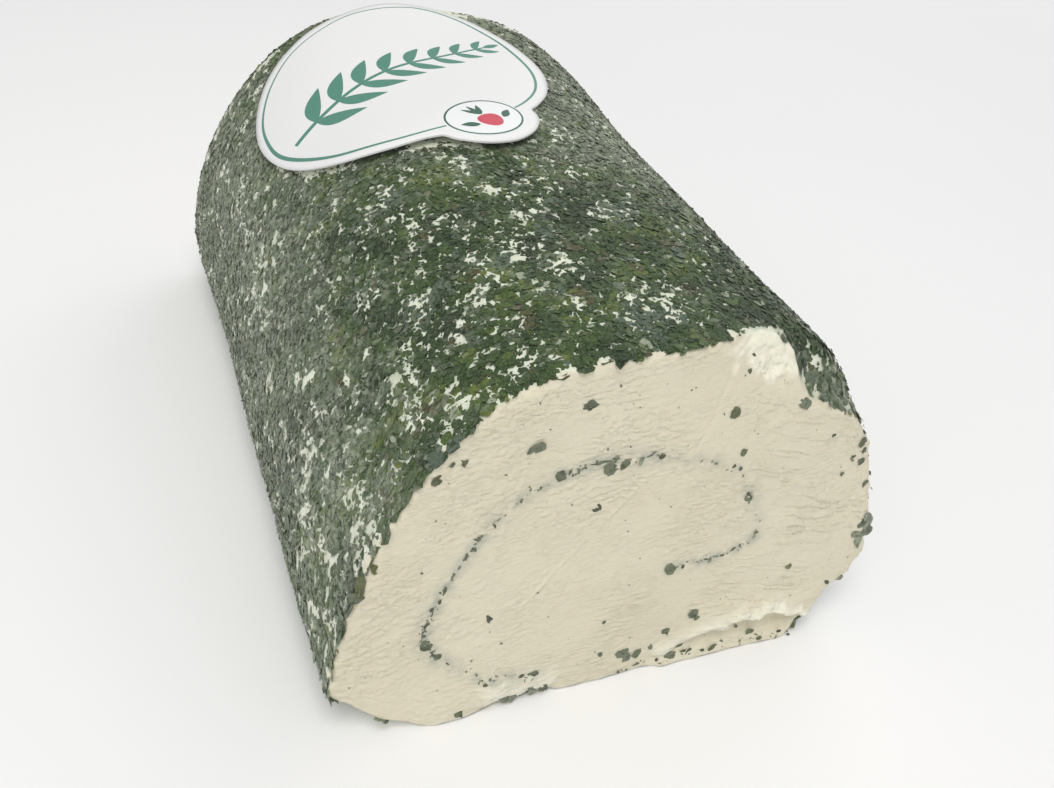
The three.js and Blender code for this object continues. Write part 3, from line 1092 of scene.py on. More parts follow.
@dataclass
class LayerLine:
    """The line along which the herb layer meets the cut, strong in some stretches and lost in others."""

    points: tuple[Point, ...] = (
        (-23, 7.5), (-36, 10), (-46.5, 17), (-52, 26), (-48, 38), (-38, 53), (-26, 61), (-8, 64),
        (8, 61.5), (22, 56.5), (30, 45), (33, 36), (22, 31.5), (9.5, 31),
    )
    stretches: tuple[Point, ...] = (
        (0.0, 0.1), (0.013, 0.6), (0.09, 0.25), (0.135, 1.0), (0.383, 0.15), (0.404, 0.6),
        (0.469, 1.0), (0.599, 0.3), (0.7, 0.1), (0.775, 0.7), (0.803, 0.05), (0.86, 0.9),
    )
    samples: int = 260
    softened: int = 5
    line: Array = field(init=False)
    strength: Array = field(init=False)

    def __post_init__(self) -> None:
        """Spaces points along the line, and works out how strongly the layer shows at each."""
        self.line = smooth_curve(self.points, self.samples, closed=False)
        starts, strengths = np.array(self.stretches).T
        shares = np.linspace(0.0, 1.0, self.samples)
        sharp = strengths[np.searchsorted(starts, shares, side="right") - 1]
        padded = np.pad(sharp, self.softened // 2, mode="edge")
        self.strength = np.convolve(padded, np.full(self.softened, 1 / self.softened), mode="valid")


@dataclass
class CheeseBody:
    """The bare cheese, with its torn cut face and far face."""

    shape: RollShape
    surface: CutSurface
    layer: LayerLine
    ring_points: int = 600
    base_points: int = 40
    face_rings: int = 158
    side_rings: int = 44
    far_rings: int = 60
    base_lift: float = 0.3
    edge_round: float = 0.8
    far_edge_rings: int = 4
    rim_blend: float = 1.2
    rim_rounding: float = 1.6
    near_share: float = 30.0
    side_spacing: float = 1.35
    lump_base: float = 0.12
    lumps: Point = (0.2, 7.0)
    pimples: Point = (0.12, 2.8)
    lumps_above: Rise = Rise(0.5, 6.0)
    bites: tuple[Grain, ...] = (Grain(0.45, 4.3, 1.0, 60.0), Grain(0.3, 1.7, 1.0, 90.0))
    bites_above: Rise = Rise(0.5, 4.0)
    edges: tuple[Grain, ...] = (Grain(0.5, 3.1, 1.0), Grain(0.35, 1.3, 1.0))
    foot_below: Rise = Rise(0.0, 3.0)
    halo_reach: float = 2.1
    halo_least: float = 0.35
    torn_before: float = 30.0
    far_shift: float = 200.0
    far_relief_in: float = 6.0
    seed: int = 5

    def _distances(self, points: int) -> Array:
        """Spaces the points of a ring, coarsely under the base and finely round the rest.

        Args:
            points: How many points the ring has.

        Returns:
            How far round the section each point lies.
        """
        half, girth = self.shape.base_half_width, self.shape.run[-1]
        under = self.base_points // 2
        full = np.concatenate(
            [
                np.linspace(0.0, half, under, endpoint=False),
                np.linspace(half, girth - half, self.ring_points - 2 * under, endpoint=False),
                np.linspace(girth - half, girth, under, endpoint=False),
            ]
        )
        return full[:: self.ring_points // points]

    def _points_at(self, scale: float) -> int:
        """Says how many points a face ring needs at a share of the way from the middle to the rim."""
        share = 8 if scale < 0.1 else 4 if scale < 0.22 else 2 if scale < 0.46 else 1
        return self.ring_points // share

    def _coat_detail(self, points: Array) -> Array:
        """Gives how far the bare cheese under the coat stands out.

        Args:
            points: Points of the side.

        Returns:
            The height at each point.
        """
        noise = SmoothNoise(self.seed + 3)
        lumps = 0.0
        for height, wide in (self.lumps, self.pimples):
            lumps = lumps + height * noise.at(*np.moveaxis(points / wide, -1, 0))
        return (self.lump_base + lumps) * self.lumps_above.at(points[..., 2])

    def _side_ring(self, distance: Array, share: float) -> Array:
        """Gives one ring of the coated side, ragged where it meets the cut.

        Args:
            distance: How far round the section each point lies.
            share: The share of the way from the cut face to the far end.

        Returns:
            The points of the ring.
        """
        ring = self.shape.surface(distance, share)
        out = unit(ring[:, [0, 2]] - np.array([0.0, self.shape.swell_fade[1]]))
        grow = self._coat_detail(ring)
        ring[:, 0] += out[:, 0] * grow
        ring[:, 2] += out[:, 1] * grow
        near = max(0.0, 1.0 - share * self.near_share)
        ragged = SmoothNoise(self.seed + 4)
        bite = sum(grain.along(ragged, distance) for grain in self.bites)
        bite = bite * near * self.bites_above.at(ring[:, 2])
        ring[:, 0] -= out[:, 0] * bite
        ring[:, 2] -= out[:, 1] * bite
        behind = self.edge_round
        for grain in self.edges:
            behind = behind + grain.along(ragged, distance)
        low = self.foot_below.rest(ring[:, 2])
        behind = behind * (1.0 - low) + low * self.surface.sunk(ring[:, 0], ring[:, 2])
        ring[:, 1] += near * behind
        return ring

    def _front_ring(self, points: int, scale: float) -> Array:
        """Gives one ring of the cut face.

        Args:
            points: How many points it has.
            scale: The share of the way from the middle to the rim at which it lies.

        Returns:
            The points of the ring.
        """
        rim = self._side_ring(self._distances(points), 0.0)
        middle = np.array(self.shape.face_middle)
        arm = rim[:, [0, 2]] - middle
        flat = middle + arm * scale
        x, z = flat[:, 0], flat[:, 1]
        from_rim = (1.0 - scale) * np.linalg.norm(arm, axis=1)
        fade = np.where(rim[:, 2] < 1.0, 1.0, smoothstep(from_rim, 0.0, self.rim_blend))
        depth = self.shape.cut_depth(x, z) + self.surface.sunk(x, z) * fade
        rounding = np.clip(1.0 - from_rim / self.rim_rounding, 0.0, 1.0) ** 2
        rim_depth = rim[:, 1] - self.shape.cut_depth(rim[:, 0], rim[:, 2])
        rim_depth = rim_depth - np.where(rim[:, 2] < 1.0, self.surface.sunk(rim[:, 0], rim[:, 2]), 0.0)
        return np.stack([x, depth + rounding * rim_depth, z], -1)

    def _far_ring(self, distance: Array, inset: float, y: float) -> Array:
        """Gives one ring of the far end.

        Args:
            distance: How far round the section each point lies.
            inset: How far the ring is set in from the rim.
            y: Where it lies along the roll.

        Returns:
            The points of the ring.
        """
        rim = self._side_ring(distance, 1.0)
        middle = np.array(self.shape.face_middle)
        arm = rim[:, [0, 2]] - middle
        keep = 1.0 - inset / np.linalg.norm(arm, axis=1, keepdims=True)
        flat = middle + arm * np.where(rim[:, 2:] < 1.0, 1.0, keep)
        return np.stack([flat[:, 0], np.full(len(flat), y), flat[:, 1]], -1)

    def _far_rings(self, distance: Array) -> list[Array]:
        """Lists the rings of the rounded far edge and of the far face.

        Args:
            distance: How far round the section each point of the rim lies.

        Returns:
            The rings, from the side to the middle of the far face.
        """
        radius, length = self.shape.far_edge_radius, self.shape.length
        rings = []
        for turn in np.linspace(0.0, math.pi / 2, self.far_edge_rings + 1)[1:]:
            inset, short = radius * (1 - math.cos(turn)), radius * (1 - math.sin(turn))
            rings.append(self._far_ring(distance, inset, length - short))
        middle = np.array([self.shape.face_middle[0], length, self.shape.face_middle[1]])
        rim = rings[-1]
        for scale in np.linspace(1.0, 0.0, self.far_rings + 1)[1:-1]:
            ring = middle + (rim[:: self.ring_points // self._points_at(scale)] - middle) * scale
            relief = self.surface.sunk(ring[:, 0] + self.far_shift, ring[:, 2])
            ring[:, 1] = length + relief * min(1.0, self.far_relief_in * (1.0 - scale))
            rings.append(ring)
        return rings

    def build(self, finish: Material) -> Piece:
        """Makes the cheese as one closed mesh.

        Args:
            finish: The cheese's material.

        Returns:
            The piece.
        """
        scales = np.linspace(0.0, 1.0, self.face_rings + 1)[1:]
        front = [self._front_ring(self._points_at(scale), scale) for scale in scales]
        coarse = self._distances(self.ring_points // 2)
        radius, length = self.shape.far_edge_radius, self.shape.length
        places = np.linspace(0.0, 1.0, self.side_rings + 1)[1:] ** self.side_spacing
        side = [self._side_ring(coarse, share * (1.0 - radius / length)) for share in places]
        far = self._far_rings(coarse)
        middle_x, middle_z = self.shape.face_middle
        here = np.array([middle_x]), np.array([middle_z])
        near_pole = [middle_x, float((self.shape.cut_depth(*here) + self.surface.sunk(*here))[0]), middle_z]
        rings = [*front, *side, *far]
        points = np.concatenate([*rings, [near_pole, [middle_x, length, middle_z]]])
        points[:, 2] = np.maximum(points[:, 2], self.base_lift)
        faces = skin_faces([len(ring) for ring in rings])
        piece = new_piece("cheese_body", self.shape.to_frame(points), faces, finish)
        piece.data.shade_smooth()
        far_face = sum(map(len, far[self.far_edge_rings :])) + 2
        self._mark(piece.data, points, sum(map(len, front)), far_face)
        hand_in(piece, "cheese", "cheese_roll")
        return piece

    def _mark(self, mesh: bpy.types.Mesh, points: Array, front: int, far: int) -> None:
        """Stores where the cheese is cut, freshly torn, or stained by the herb layer.

        Args:
            mesh: The cheese's mesh.
            points: Its points, in the roll's own frame.
            front: How many of them belong to the cut face, at the start.
            far: How many belong to the far face, at the end.
        """
        cut = np.zeros(len(points))
        cut[:front] = 1.0
        cut[-far:] = 1.0
        set_attribute(mesh, "cut", cut)
        torn = self.surface.torn(points[:, 0], points[:, 2])
        set_attribute(mesh, "torn", torn * (points[:, 1] < self.torn_before))
        flat = points[:, [0, 2]]
        halo = np.zeros(len(points))
        for spot, strength in zip(self.layer.line[::2], self.layer.strength[::2]):
            distance = np.linalg.norm(flat - spot, axis=1)
            height = self.halo_least + (1.0 - self.halo_least) * strength
            halo = np.maximum(halo, height * np.exp(-((distance / self.halo_reach) ** 2)))
        set_attribute(mesh, "halo", halo * cut)


class FlakeForm(enum.Enum):
    """The forms of herb flake, each with its length against its width."""

    SHARD = 1.25
    LEAF = 1.7
    STALK = 3.2


@dataclass
class FlakeKinds:
    """A set of small closed flakes, 2 units across, that the coat repeats."""

    corners: int
    rings: int
    seed: int
    mixed: tuple[tuple[FlakeForm, int], ...] = (
        *((FlakeForm.SHARD, 7), (FlakeForm.LEAF, 4), (FlakeForm.STALK, 1)),
    )
    bends: Point = (5, 8)
    shift: Point = (-0.32, 0.32)
    reach: Point = (0.68, 1.14)
    leaf_reach: Point = (0.72, 0.36)
    leaf_power: float = 1.5
    leaf_shift: Point = (-0.06, 0.06)
    rim_shift: Point = (-0.05, 0.05)
    bend: Point = (-0.26, 0.26)
    twist: Point = (-0.15, 0.15)
    fullness: float = 0.9
    thick: float = 0.075
    collection: bpy.types.Collection = field(init=False)

    def _rim(self, form: FlakeForm, random: np.random.Generator) -> Array:
        """Gives the angular rim of a flake, as broken leaf has it.

        Args:
            form: The form of the flake.
            random: Where the random numbers come from.

        Returns:
            The corners of the rim.
        """
        bends = min(self.corners, int(random.integers(*self.bends)))
        angle = (np.arange(bends) + random.uniform(*self.shift, bends)) / bends * 2 * math.pi
        reach = random.uniform(*self.reach, bends)
        if form is FlakeForm.LEAF:
            least, gain = self.leaf_reach
            reach = least + gain * np.abs(np.cos(angle)) ** self.leaf_power
            reach = reach + random.uniform(*self.leaf_shift, bends)
        loop = np.stack([reach * np.cos(angle), reach * np.sin(angle) / form.value], 1)
        loop = np.concatenate([loop, loop[:1]])
        if bends == self.corners:
            return loop[:-1]
        run = np.concatenate([[0.0], np.cumsum(np.linalg.norm(np.diff(loop, axis=0), axis=1))])
        places = np.linspace(0.0, run[-1], self.corners, endpoint=False)
        rim = np.stack([np.interp(places, run, column) for column in loop.T], 1)
        return rim * (1.0 + random.uniform(*self.rim_shift, (self.corners, 1)))

    def _flake(self, form: FlakeForm, random: np.random.Generator) -> tuple[Array, list[tuple[int, ...]]]:
        """Shapes one flake as a thin lens with an angular rim, bent across.

        Args:
            form: The form of the flake.
            random: Where the random numbers come from.

        Returns:
            Its points and its faces.
        """
        x, y = self._rim(form, random).T
        corners = len(x)
        bend, twist = random.uniform(*self.bend), random.uniform(*self.twist)
        edge = random.uniform(*self.leaf_shift, corners)
        scales = np.linspace(0, 1, self.rings + 1)[1:]
        heights = [self.thick * math.sqrt(1 - self.fullness * scale * scale) for scale in scales[:-1]] + [0.0]
        crumple = random.uniform(*self.rim_shift, (self.rings, corners))
        rows = []
        for row, (scale, height) in enumerate(zip(scales, heights)):
            lift = bend * (x * scale) ** 2 + twist * x * y * scale**2
            lift = lift + edge * scale + crumple[row] * (scale < 1)
            rows.append((np.stack([x * scale, y * scale, lift], -1), height))
        up = np.array([0.0, 0.0, 1.0])
        over = [points + up * height for points, height in rows]
        under = [points - up * height for points, height in rows[-2::-1]]
        poles = np.array([[0, 0, self.thick], [0, 0, -self.thick]])
        return np.concatenate([*over, *under, poles]), skin_faces([corners] * (2 * self.rings - 1))

    @property
    def count(self) -> int:
        """Says how many flakes there are."""
        return sum(times for _, times in self.mixed)

    def build(self) -> "FlakeKinds":
        """Makes the flakes in a collection of their own.

        Returns:
            The set itself.
        """
        random = np.random.default_rng(self.seed)
        self.collection = bpy.data.collections.new(f"flake_kinds_{self.seed}")
        forms = [form for form, times in self.mixed for _ in range(times)]
        for number, form in enumerate(forms):
            points, faces = self._flake(form, random)
            mesh = bpy.data.meshes.new(f"flake_{number:02d}")
            mesh.from_pydata(points.tolist(), [], faces)
            mesh.update()
            self.collection.objects.link(bpy.data.objects.new(mesh.name, mesh))
        return self

    def clear(self) -> None:
        """Deletes the flakes once they have been laid."""
        for flake in list(self.collection.objects):
            bpy.data.objects.remove(flake)
        bpy.data.collections.remove(self.collection)


@dataclass
class Scatter:
    """Flakes about to be laid: where each lies, how it is turned and stretched, and its colour."""

    here: Array
    turn: Array
    stretch: Array
    tone: Array
    pale: Array
    kind: Array

    @staticmethod
    def laid(
        places: Places, radius: Array, lift: Array, tilt: float | Array, tone: Array, pale: Array, kinds: int,
        random: np.random.Generator,
    ) -> "Scatter":
        """Lays flakes on places of a surface, each spun at random and tilted a little.

        Args:
            places: Where the flakes lie.
            radius: The radius of each flake.
            lift: How far each stands off the surface.
            tilt: How far a flake may tilt, in degrees.
            tone: The tone of each flake, from 0 to 1.
            pale: How pale each flake is, from 0 to 1: cheese smeared over it and, on the coat, also a painted
                sheen.
            kinds: How many kinds of flake there are.
            random: Where the random numbers come from.

        Returns:
            The flakes.
        """
        count = len(radius)
        spin = random.uniform(0, 2 * math.pi, count)
        lean = np.radians(tilt) * random.uniform(-1, 1, count)
        roll = np.radians(tilt) * random.uniform(-1, 1, count)
        x = places.across * np.cos(spin)[:, None] + places.along * np.sin(spin)[:, None]
        x = unit(x + places.normal * np.sin(lean)[:, None])
        z = unit(places.normal - x * np.sum(places.normal * x, axis=1, keepdims=True))
        y = np.cross(z, x)
        y = unit(y + z * np.sin(roll)[:, None])
        z = np.cross(x, y)
        pitch = -np.arcsin(np.clip(x[:, 2], -1, 1))
        turn = np.stack([np.arctan2(y[:, 2], z[:, 2]), pitch, np.arctan2(x[:, 1], x[:, 0])], 1)
        thick = random.uniform(*FLAKE_THICKNESS, count)
        stretch = np.stack([radius, radius, radius**0.5 * thick], 1) / METRE
        here = places.here + places.normal * lift[:, None]
        return Scatter(here, turn, stretch, tone, pale, random.integers(0, kinds, count))

    def where(self, chosen: Array) -> "Scatter":
        """Keeps only the chosen flakes."""
        parts = (self.here, self.turn, self.stretch, self.tone, self.pale, self.kind)
        return Scatter(*(part[chosen] for part in parts))


@dataclass
class FlakeLayer:
    """Turns a scatter of flakes into one plain mesh with Geometry Nodes."""

    name: str
    kinds: FlakeKinds
    finish: Material

    def _tree(self) -> bpy.types.NodeTree:
        """Builds the tree that puts a flake on each point, turned, stretched and with its finish.

        Returns:
            The tree, with the flakes' places, kinds, size and finish as its inputs.
        """
        tree = bpy.data.node_groups.new(f"lay_{self.name}", "GeometryNodeTree")
        inputs = (("Places", "Geometry"), ("Kinds", "Collection"), ("Size", "Float"), ("Finish", "Material"))
        for name, kind in inputs:
            tree.interface.new_socket(name, in_out="INPUT", socket_type=f"NodeSocket{kind}")
        tree.interface.new_socket("Flakes", in_out="OUTPUT", socket_type="NodeSocketGeometry")
        graph = Graph(tree)
        given = graph.add("NodeGroupInput").outputs
        wanted = {"Collection": given["Kinds"], "Separate Children": True, "Reset Children": True}
        picked = graph.add("GeometryNodeCollectionInfo", wanted)
        named = {}
        for name, kind in (("kind", "INT"), ("turn", "FLOAT_VECTOR"), ("stretch", "FLOAT_VECTOR")):
            stored = graph.add("GeometryNodeInputNamedAttribute", {"Name": name}, data_type=kind)
            named[name] = stored.outputs["Attribute"]
        turned = graph.add("FunctionNodeEulerToRotation", {"Euler": named["turn"]})
        stretch = {0: named["stretch"], "Scale": given["Size"]}
        sized = graph.add("ShaderNodeVectorMath", stretch, operation="SCALE")
        wanted = {
            "Points": given["Places"],
            "Instance": picked.outputs["Instances"],
            "Pick Instance": True,
            "Instance Index": named["kind"],
            "Rotation": turned.outputs["Rotation"],
            "Scale": sized.outputs["Vector"],
        }
        laid = graph.add("GeometryNodeInstanceOnPoints", wanted)
        real = graph.add("GeometryNodeRealizeInstances", {"Geometry": laid.outputs["Instances"]})
        wanted = {"Geometry": real.outputs["Geometry"], "Material": given["Finish"]}
        dressed = graph.add("GeometryNodeSetMaterial", wanted)
        graph.add("NodeGroupOutput", {"Flakes": dressed.outputs["Geometry"]})
        return tree

    def build(self, scatter: Scatter, shape: RollShape, slot: str) -> Piece:
        """Lays the flakes.

        Args:
            scatter: The flakes to lay.
            shape: The roll that they lie on.
            slot: The record's material slot for the layer; not used.

        Returns:
            The piece.
        """
        piece = new_piece(self.name, shape.to_frame(scatter.here), [], self.finish)
        mesh = piece.data
        for name, vectors in (("turn", scatter.turn), ("stretch", scatter.stretch)):
            stored = mesh.attributes.new(name, "FLOAT_VECTOR", "POINT")
            stored.data.foreach_set("vector", vectors.astype(np.float32).ravel())
        mesh.attributes.new("kind", "INT", "POINT").data.foreach_set("value", scatter.kind.astype(np.int32))
        set_attribute(mesh, "tone", scatter.tone)
        set_attribute(mesh, "pale", scatter.pale)
        modifier = piece.modifiers.new("lay", "NODES")
        tree = self._tree()
        modifier.node_group = tree
        inputs = {item.name: item.identifier for item in tree.interface.items_tree if item.in_out == "INPUT"}
        modifier[inputs["Kinds"]] = self.kinds.collection
        modifier[inputs["Size"]] = 1.0
        modifier[inputs["Finish"]] = self.finish
        bpy.context.view_layer.update()
        evaluated = piece.evaluated_get(bpy.context.evaluated_depsgraph_get())
        real = bpy.data.meshes.new_from_object(evaluated)
        piece.modifiers.remove(modifier)
        piece.data = real
        corners = np.zeros(len(real.vertices) * 3, np.float32)
        real.vertices.foreach_get("co", corners)
        corners[2::3] = np.maximum(corners[2::3], 0.0)
        real.vertices.foreach_set("co", corners)
        real.update()
        real.name = self.name
        for name in ("turn", "stretch", "kind"):
            if name in real.attributes:
                real.attributes.remove(real.attributes[name])
        if not real.materials:
            real.materials.append(self.finish)
        real.shade_flat()
        hand_in(piece, slot)
        return piece


@dataclass
class CardOutline:
    """The card label's outline round its centre: across the roll, and along it."""

    centre: Point = (-21.0, 150.0)
    points: tuple[Point, ...] = (
        (7, 44.9), (-9, 41.2), (-25, 36.4), (-37, 28.8), (-44.7, 17.9), (-48.2, 4), (-45.8, -11.5),
        (-38.5, -25.8), (-27.5, -37.3), (-16.5, -43), (-6, -43.8), (-3.6, -44), (-1.5, -46.2),
        (6, -48.9), (15, -47.4), (22.5, -41.6), (26.2, -34.5), (26.1, -29.9), (29.1, -26.9), (36, -18),
        (40.3, -6), (40.2, 8), (37, 23), (30.5, 34.8), (20, 42),
    )

    def rim(self, count: int) -> Array:
        """Gives points evenly spaced round the outline."""
        return smooth_curve(self.points, count, closed=True)


@dataclass(frozen=True)
class FlakeCrowd:
    """One crowd of the coat's flakes: how many there are, how large, and how they lie."""

    per_square: float
    radius: Point
    lift: Point
    tilt: float
    seed: int


@dataclass(frozen=True)
class CoatTint:
    """The colours of the coat: green on the crown; paler down its sides, far off and to the upper right, a
    painted sheen for light caught at a grazing angle; and smeared with cheese here and there.
    """

    seed: int
    tone: Point = (0.34, 0.13)
    most_tone: float = 0.84
    drift: tuple[Grain, Grain] = (Grain(0.3, 5.5, 5.5), Grain(0.22, 15.0, 15.0))
    olive_along: Rise = Rise(-45.0, -15.0, 0.1)
    olive_across: Rise = Rise(-20.0, 25.0)
    odd_spread: float = 0.2
    blue: Grain = Grain(1.0, 7.0, 7.0, 40.0)
    blue_from: float = 0.66
    blue_tone: float = 0.91
    brown: Grain = Grain(1.0, 5.0, 5.0, 80.0)
    brown_from: float = 0.85
    brown_tone: float = 1.0
    left: Rise = Rise(38.0, 95.0, 0.7)
    right: Rise = Rise(18.0, 70.0, 0.9)
    far: Rise = Rise(60.0, 140.0, 0.5)
    sheen_far_less: Rise = Rise(20.0, 60.0, 0.5)
    sheen_upper_across: Rise = Rise(-15.0, 30.0, 0.55)
    sheen_upper_along: Rise = Rise(50.0, 105.0)
    spread: Point = (-0.4, 0.3)
    blotches: Grain = Grain(0.25, 6.0, 6.0)
    most_smeared: float = 0.9
    flecks: float = 0.02
    more_flecks: Rise = Rise(10.0, 60.0, 0.06)
    fleck: float = 1.4

    def of(self, across: Array, along: Array, random: np.random.Generator) -> tuple[Array, Array]:
        """Gives flakes their colour.

        Args:
            across: Where they lie, as arc length from the crown.
            along: Where they lie along the roll.
            random: Where the random numbers come from.

        Returns:
            The tone of each flake, and how pale it is: cheese smeared over it, with a painted sheen where the
            coat is seen at a grazing angle.
        """
        count = len(across)
        patch = SmoothNoise(self.seed)
        drift = sum(grain.of(patch, across, along) for grain in self.drift)
        olive = self.olive_along.at(-along) * self.olive_across.at(-across)
        tone = np.clip(random.normal(*self.tone, count) + drift + olive, 0.0, self.most_tone)
        blue = self.blue.of(patch, across, along) + random.normal(0.0, self.odd_spread, count)
        brown = self.brown.of(patch, across, along) + random.normal(0.0, self.odd_spread, count)
        tone = np.where(blue > self.blue_from, self.blue_tone, tone)
        tone = np.where(brown > self.brown_from, self.brown_tone, tone)
        # Painted sheen: flakes down the sides, far off and to the upper right are paled, standing in for
        # light that the coat catches at a grazing angle.
        grazing_sheen = self.left.at(-across) + self.right.at(across)
        grazing_sheen += self.far.at(along) * self.sheen_far_less.rest(-across)
        grazing_sheen += self.sheen_upper_across.at(across) * self.sheen_upper_along.at(along)
        # The random spread and the blotches are cheese smeared over the flakes; the painted sheen is added to
        # them.
        smear = random.uniform(*self.spread, count) + grazing_sheen + self.blotches.of(patch, across, along)
        flecked = random.uniform(0, 1, count) < self.flecks + self.more_flecks.at(across)
        return tone, np.where(flecked, self.fleck, np.clip(smear, 0.0, self.most_smeared))


@dataclass
class HerbCoat:
    """The matted coat of dried herb flakes on the roll."""

    shape: RollShape
    card: CardOutline
    tint: CoatTint = CoatTint(32)
    mat: FlakeCrowd = FlakeCrowd(0.56, (1.4, 2.7), (0.0, 0.14), 5.0, 31)
    loose: FlakeCrowd = FlakeCrowd(0.56, (0.8, 2.0), (0.1, 0.46), 14.0, 32)
    crumbs: FlakeCrowd = FlakeCrowd(0.62, (0.28, 0.85), (0.25, 0.6), 26.0, 33)
    crumbs_in_gaps: float = 0.12
    size_spread: Point = (1.7, 2.4)
    pressed: float = 0.25
    card_shares: tuple[float, float, float] = (0.8, 1.02, 1.1)
    far_band: float = 6.0
    far_flat: float = 0.4
    foot_margin: float = 0.5
    end_margins: Point = (2.0, 0.2)
    front_margin: float = 0.2
    card_points: int = 80
    rim_flakes: int = 110
    rim_radius: Point = (1.5, 3.0)
    rim_spread: Point = (1.3, 2.2)
    rim_behind: Point = (0.2, 2.6)
    rim_lift: Point = (0.15, 0.4)
    rim_tilt: float = 9.0
    rim_foot: float = 11.0
    rim_short: float = 4.0
    rim_torn: tuple[float, float, float] = (14.0, 42.0, 62.0)
    rim_wiped: Point = (60.0, 56.0)
    larger_left: Rise = Rise(45.0, 62.0, 0.35)
    edge_start: float = 0.7
    edge_grains: tuple[Grain, Grain] = (Grain(0.9, 3.6, 1.0, 0.0, 3.0), Grain(0.6, 1.4, 1.0, 0.0, 7.0))
    bare_crown: float = 3.5
    crown_torn: Point = (29.0, 11.0)
    crown_above: Rise = Rise(60.0, 74.0)
    bare_side: float = 9.0
    right_wiped: tuple[Rise, Rise] = (Rise(56.0, 64.0), Rise(50.0, 60.0))
    left_wiped: tuple[Rise, Rise] = (Rise(44.0, 50.0, 0.7), Rise(8.0, 12.0))
    top_gaps: float = -0.36
    left_gaps: Rise = Rise(42.0, 84.0, 0.55)
    right_gaps: Rise = Rise(45.0, 90.0, 0.34)
    near_gaps: tuple[Rise, Rise] = (Rise(60.0, 85.0, 0.25), Rise(12.0, 45.0))
    gap_drift: Grain = Grain(0.12, 23.0, 23.0, 90.0)
    gap_grains: tuple[Grain, Grain] = (Grain(0.45, 3.0, 3.0), Grain(0.6, 1.6, 1.6, 50.0))
    gap_edge: Point = (0.45, 0.5)
    gap_slope: float = 0.6
    gap_bare: float = 0.99
    shoulder: tuple[Rise, Rise, Rise] = (Rise(40.0, 52.0, 0.9), Rise(45.0, 58.0), Rise(3.0, 14.0))
    shoulder_grain: Grain = Grain(1.0, 2.6, 5.0, 20.0)
    shoulder_edge: Rise = Rise(-0.3, 0.1)
    front_bare: Rise = Rise(-0.5, 0.5)
    front_share: float = 0.98
    seed: int = 31

    def _edge(self, across: Array, x: Array, z: Array) -> Array:
        """Gives how far behind the cut the coat begins.

        Args:
            across: Arc length from the crown.
            x: The place across the section.
            z: The place up the section.

        Returns:
            The distance at each place.
        """
        ragged = SmoothNoise(self.seed + 5)
        middle, wide = self.crown_torn
        torn = np.exp(-(((x - middle) / wide) ** 2)) * self.crown_above.at(z)
        (right, over), (left, foot) = self.right_wiped, self.left_wiped
        wiped = np.maximum(right.at(x) * over.rest(z), left.at(-x) * foot.rest(z))
        edge = self.edge_start
        for grain in self.edge_grains:
            edge = edge + grain.of(ragged, across)
        return edge + self.bare_crown * torn + self.bare_side * wiped

    def _bare(self, across: Array, along: Array, x: Array, z: Array) -> Array:
        """Gives the chance that no flake lies at a place.

        Args:
            across: Arc length from the crown.
            along: The place along the roll.
            x: The place across the section.
            z: The place up the section.

        Returns:
            The chance at each place.
        """
        gaps = SmoothNoise(self.seed)
        behind = along - self.shape.cut_depth(x, z)
        beside, before = self.near_gaps
        thin = self.top_gaps + self.left_gaps.at(-across) + self.right_gaps.at(across)
        thin = thin + self.gap_drift.of(gaps, across, along) + beside.at(-across) * before.rest(behind)
        low, high = (edge - self.gap_slope * thin for edge in self.gap_edge)
        open_places = sum(grain.of(gaps, across, along) for grain in self.gap_grains)
        chance = self.gap_bare * smoothstep(open_places, low, high)
        right, above, before = self.shoulder
        shoulder = right.at(x) * above.at(z) * before.rest(behind)
        shoulder = shoulder * self.shoulder_edge.at(self.shoulder_grain.of(gaps, across, along))
        front = self.front_share * self.front_bare.rest(behind - self._edge(across, x, z))
        return np.maximum(np.maximum(chance, shoulder), front)

    def _crowd(self, crowd: FlakeCrowd, kinds: int) -> Scatter:
        """Lays out one crowd of flakes by a seeded rule.

        Args:
            crowd: The crowd.
            kinds: How many kinds of flake there are.

        Returns:
            The flakes.
        """
        random = np.random.default_rng(crowd.seed)
        shape = self.shape
        reach = shape.crown_length - shape.base_half_width - self.foot_margin
        count = int(2 * reach * shape.length * crowd.per_square)
        across = random.uniform(-reach, reach, count)
        along = random.uniform(-self.end_margins[0], shape.length - self.end_margins[1], count)
        x, z = shape.section(shape.crown_length - across)
        keep = along > shape.cut_depth(x, z) + self.front_margin
        spare = self.crumbs_in_gaps if crowd is self.crumbs else 0.0
        on_card = np.stack([across, along], 1) - np.array(self.card.centre)
        under, near, beside = (self.card.rim(self.card_points) * share for share in self.card_shares)
        # Painted shade: no bare gaps are left under and just round the card, so that the dark coat there
        # stands in for the shade under the card's lifted rim.
        bare = self._bare(across, along, x, z) * (1.0 - spare) * ~inside_outline(on_card, beside)
        keep &= (random.uniform(0, 1, count) > bare) & ~inside_outline(on_card, under)
        across, along, on_card = across[keep], along[keep], on_card[keep]
        count = len(across)
        at_end = along > shape.length - self.far_band
        pressed = np.where(inside_outline(on_card, near) | at_end, self.pressed, 1.0)
        size = random.beta(*self.size_spread, count)
        radius = crowd.radius[0] + (crowd.radius[1] - crowd.radius[0]) * size
        lift = random.uniform(*crowd.lift, count) * pressed
        places = shape.round_far_edge(shape.coat_places(across, along), along)
        tone, pale = self.tint.of(across, along, random)
        flakes = Scatter.laid(places, radius, lift, crowd.tilt * pressed, tone, pale, kinds, random)
        flakes.stretch[:, 2] *= np.where(at_end, self.far_flat, 1.0)
        return flakes

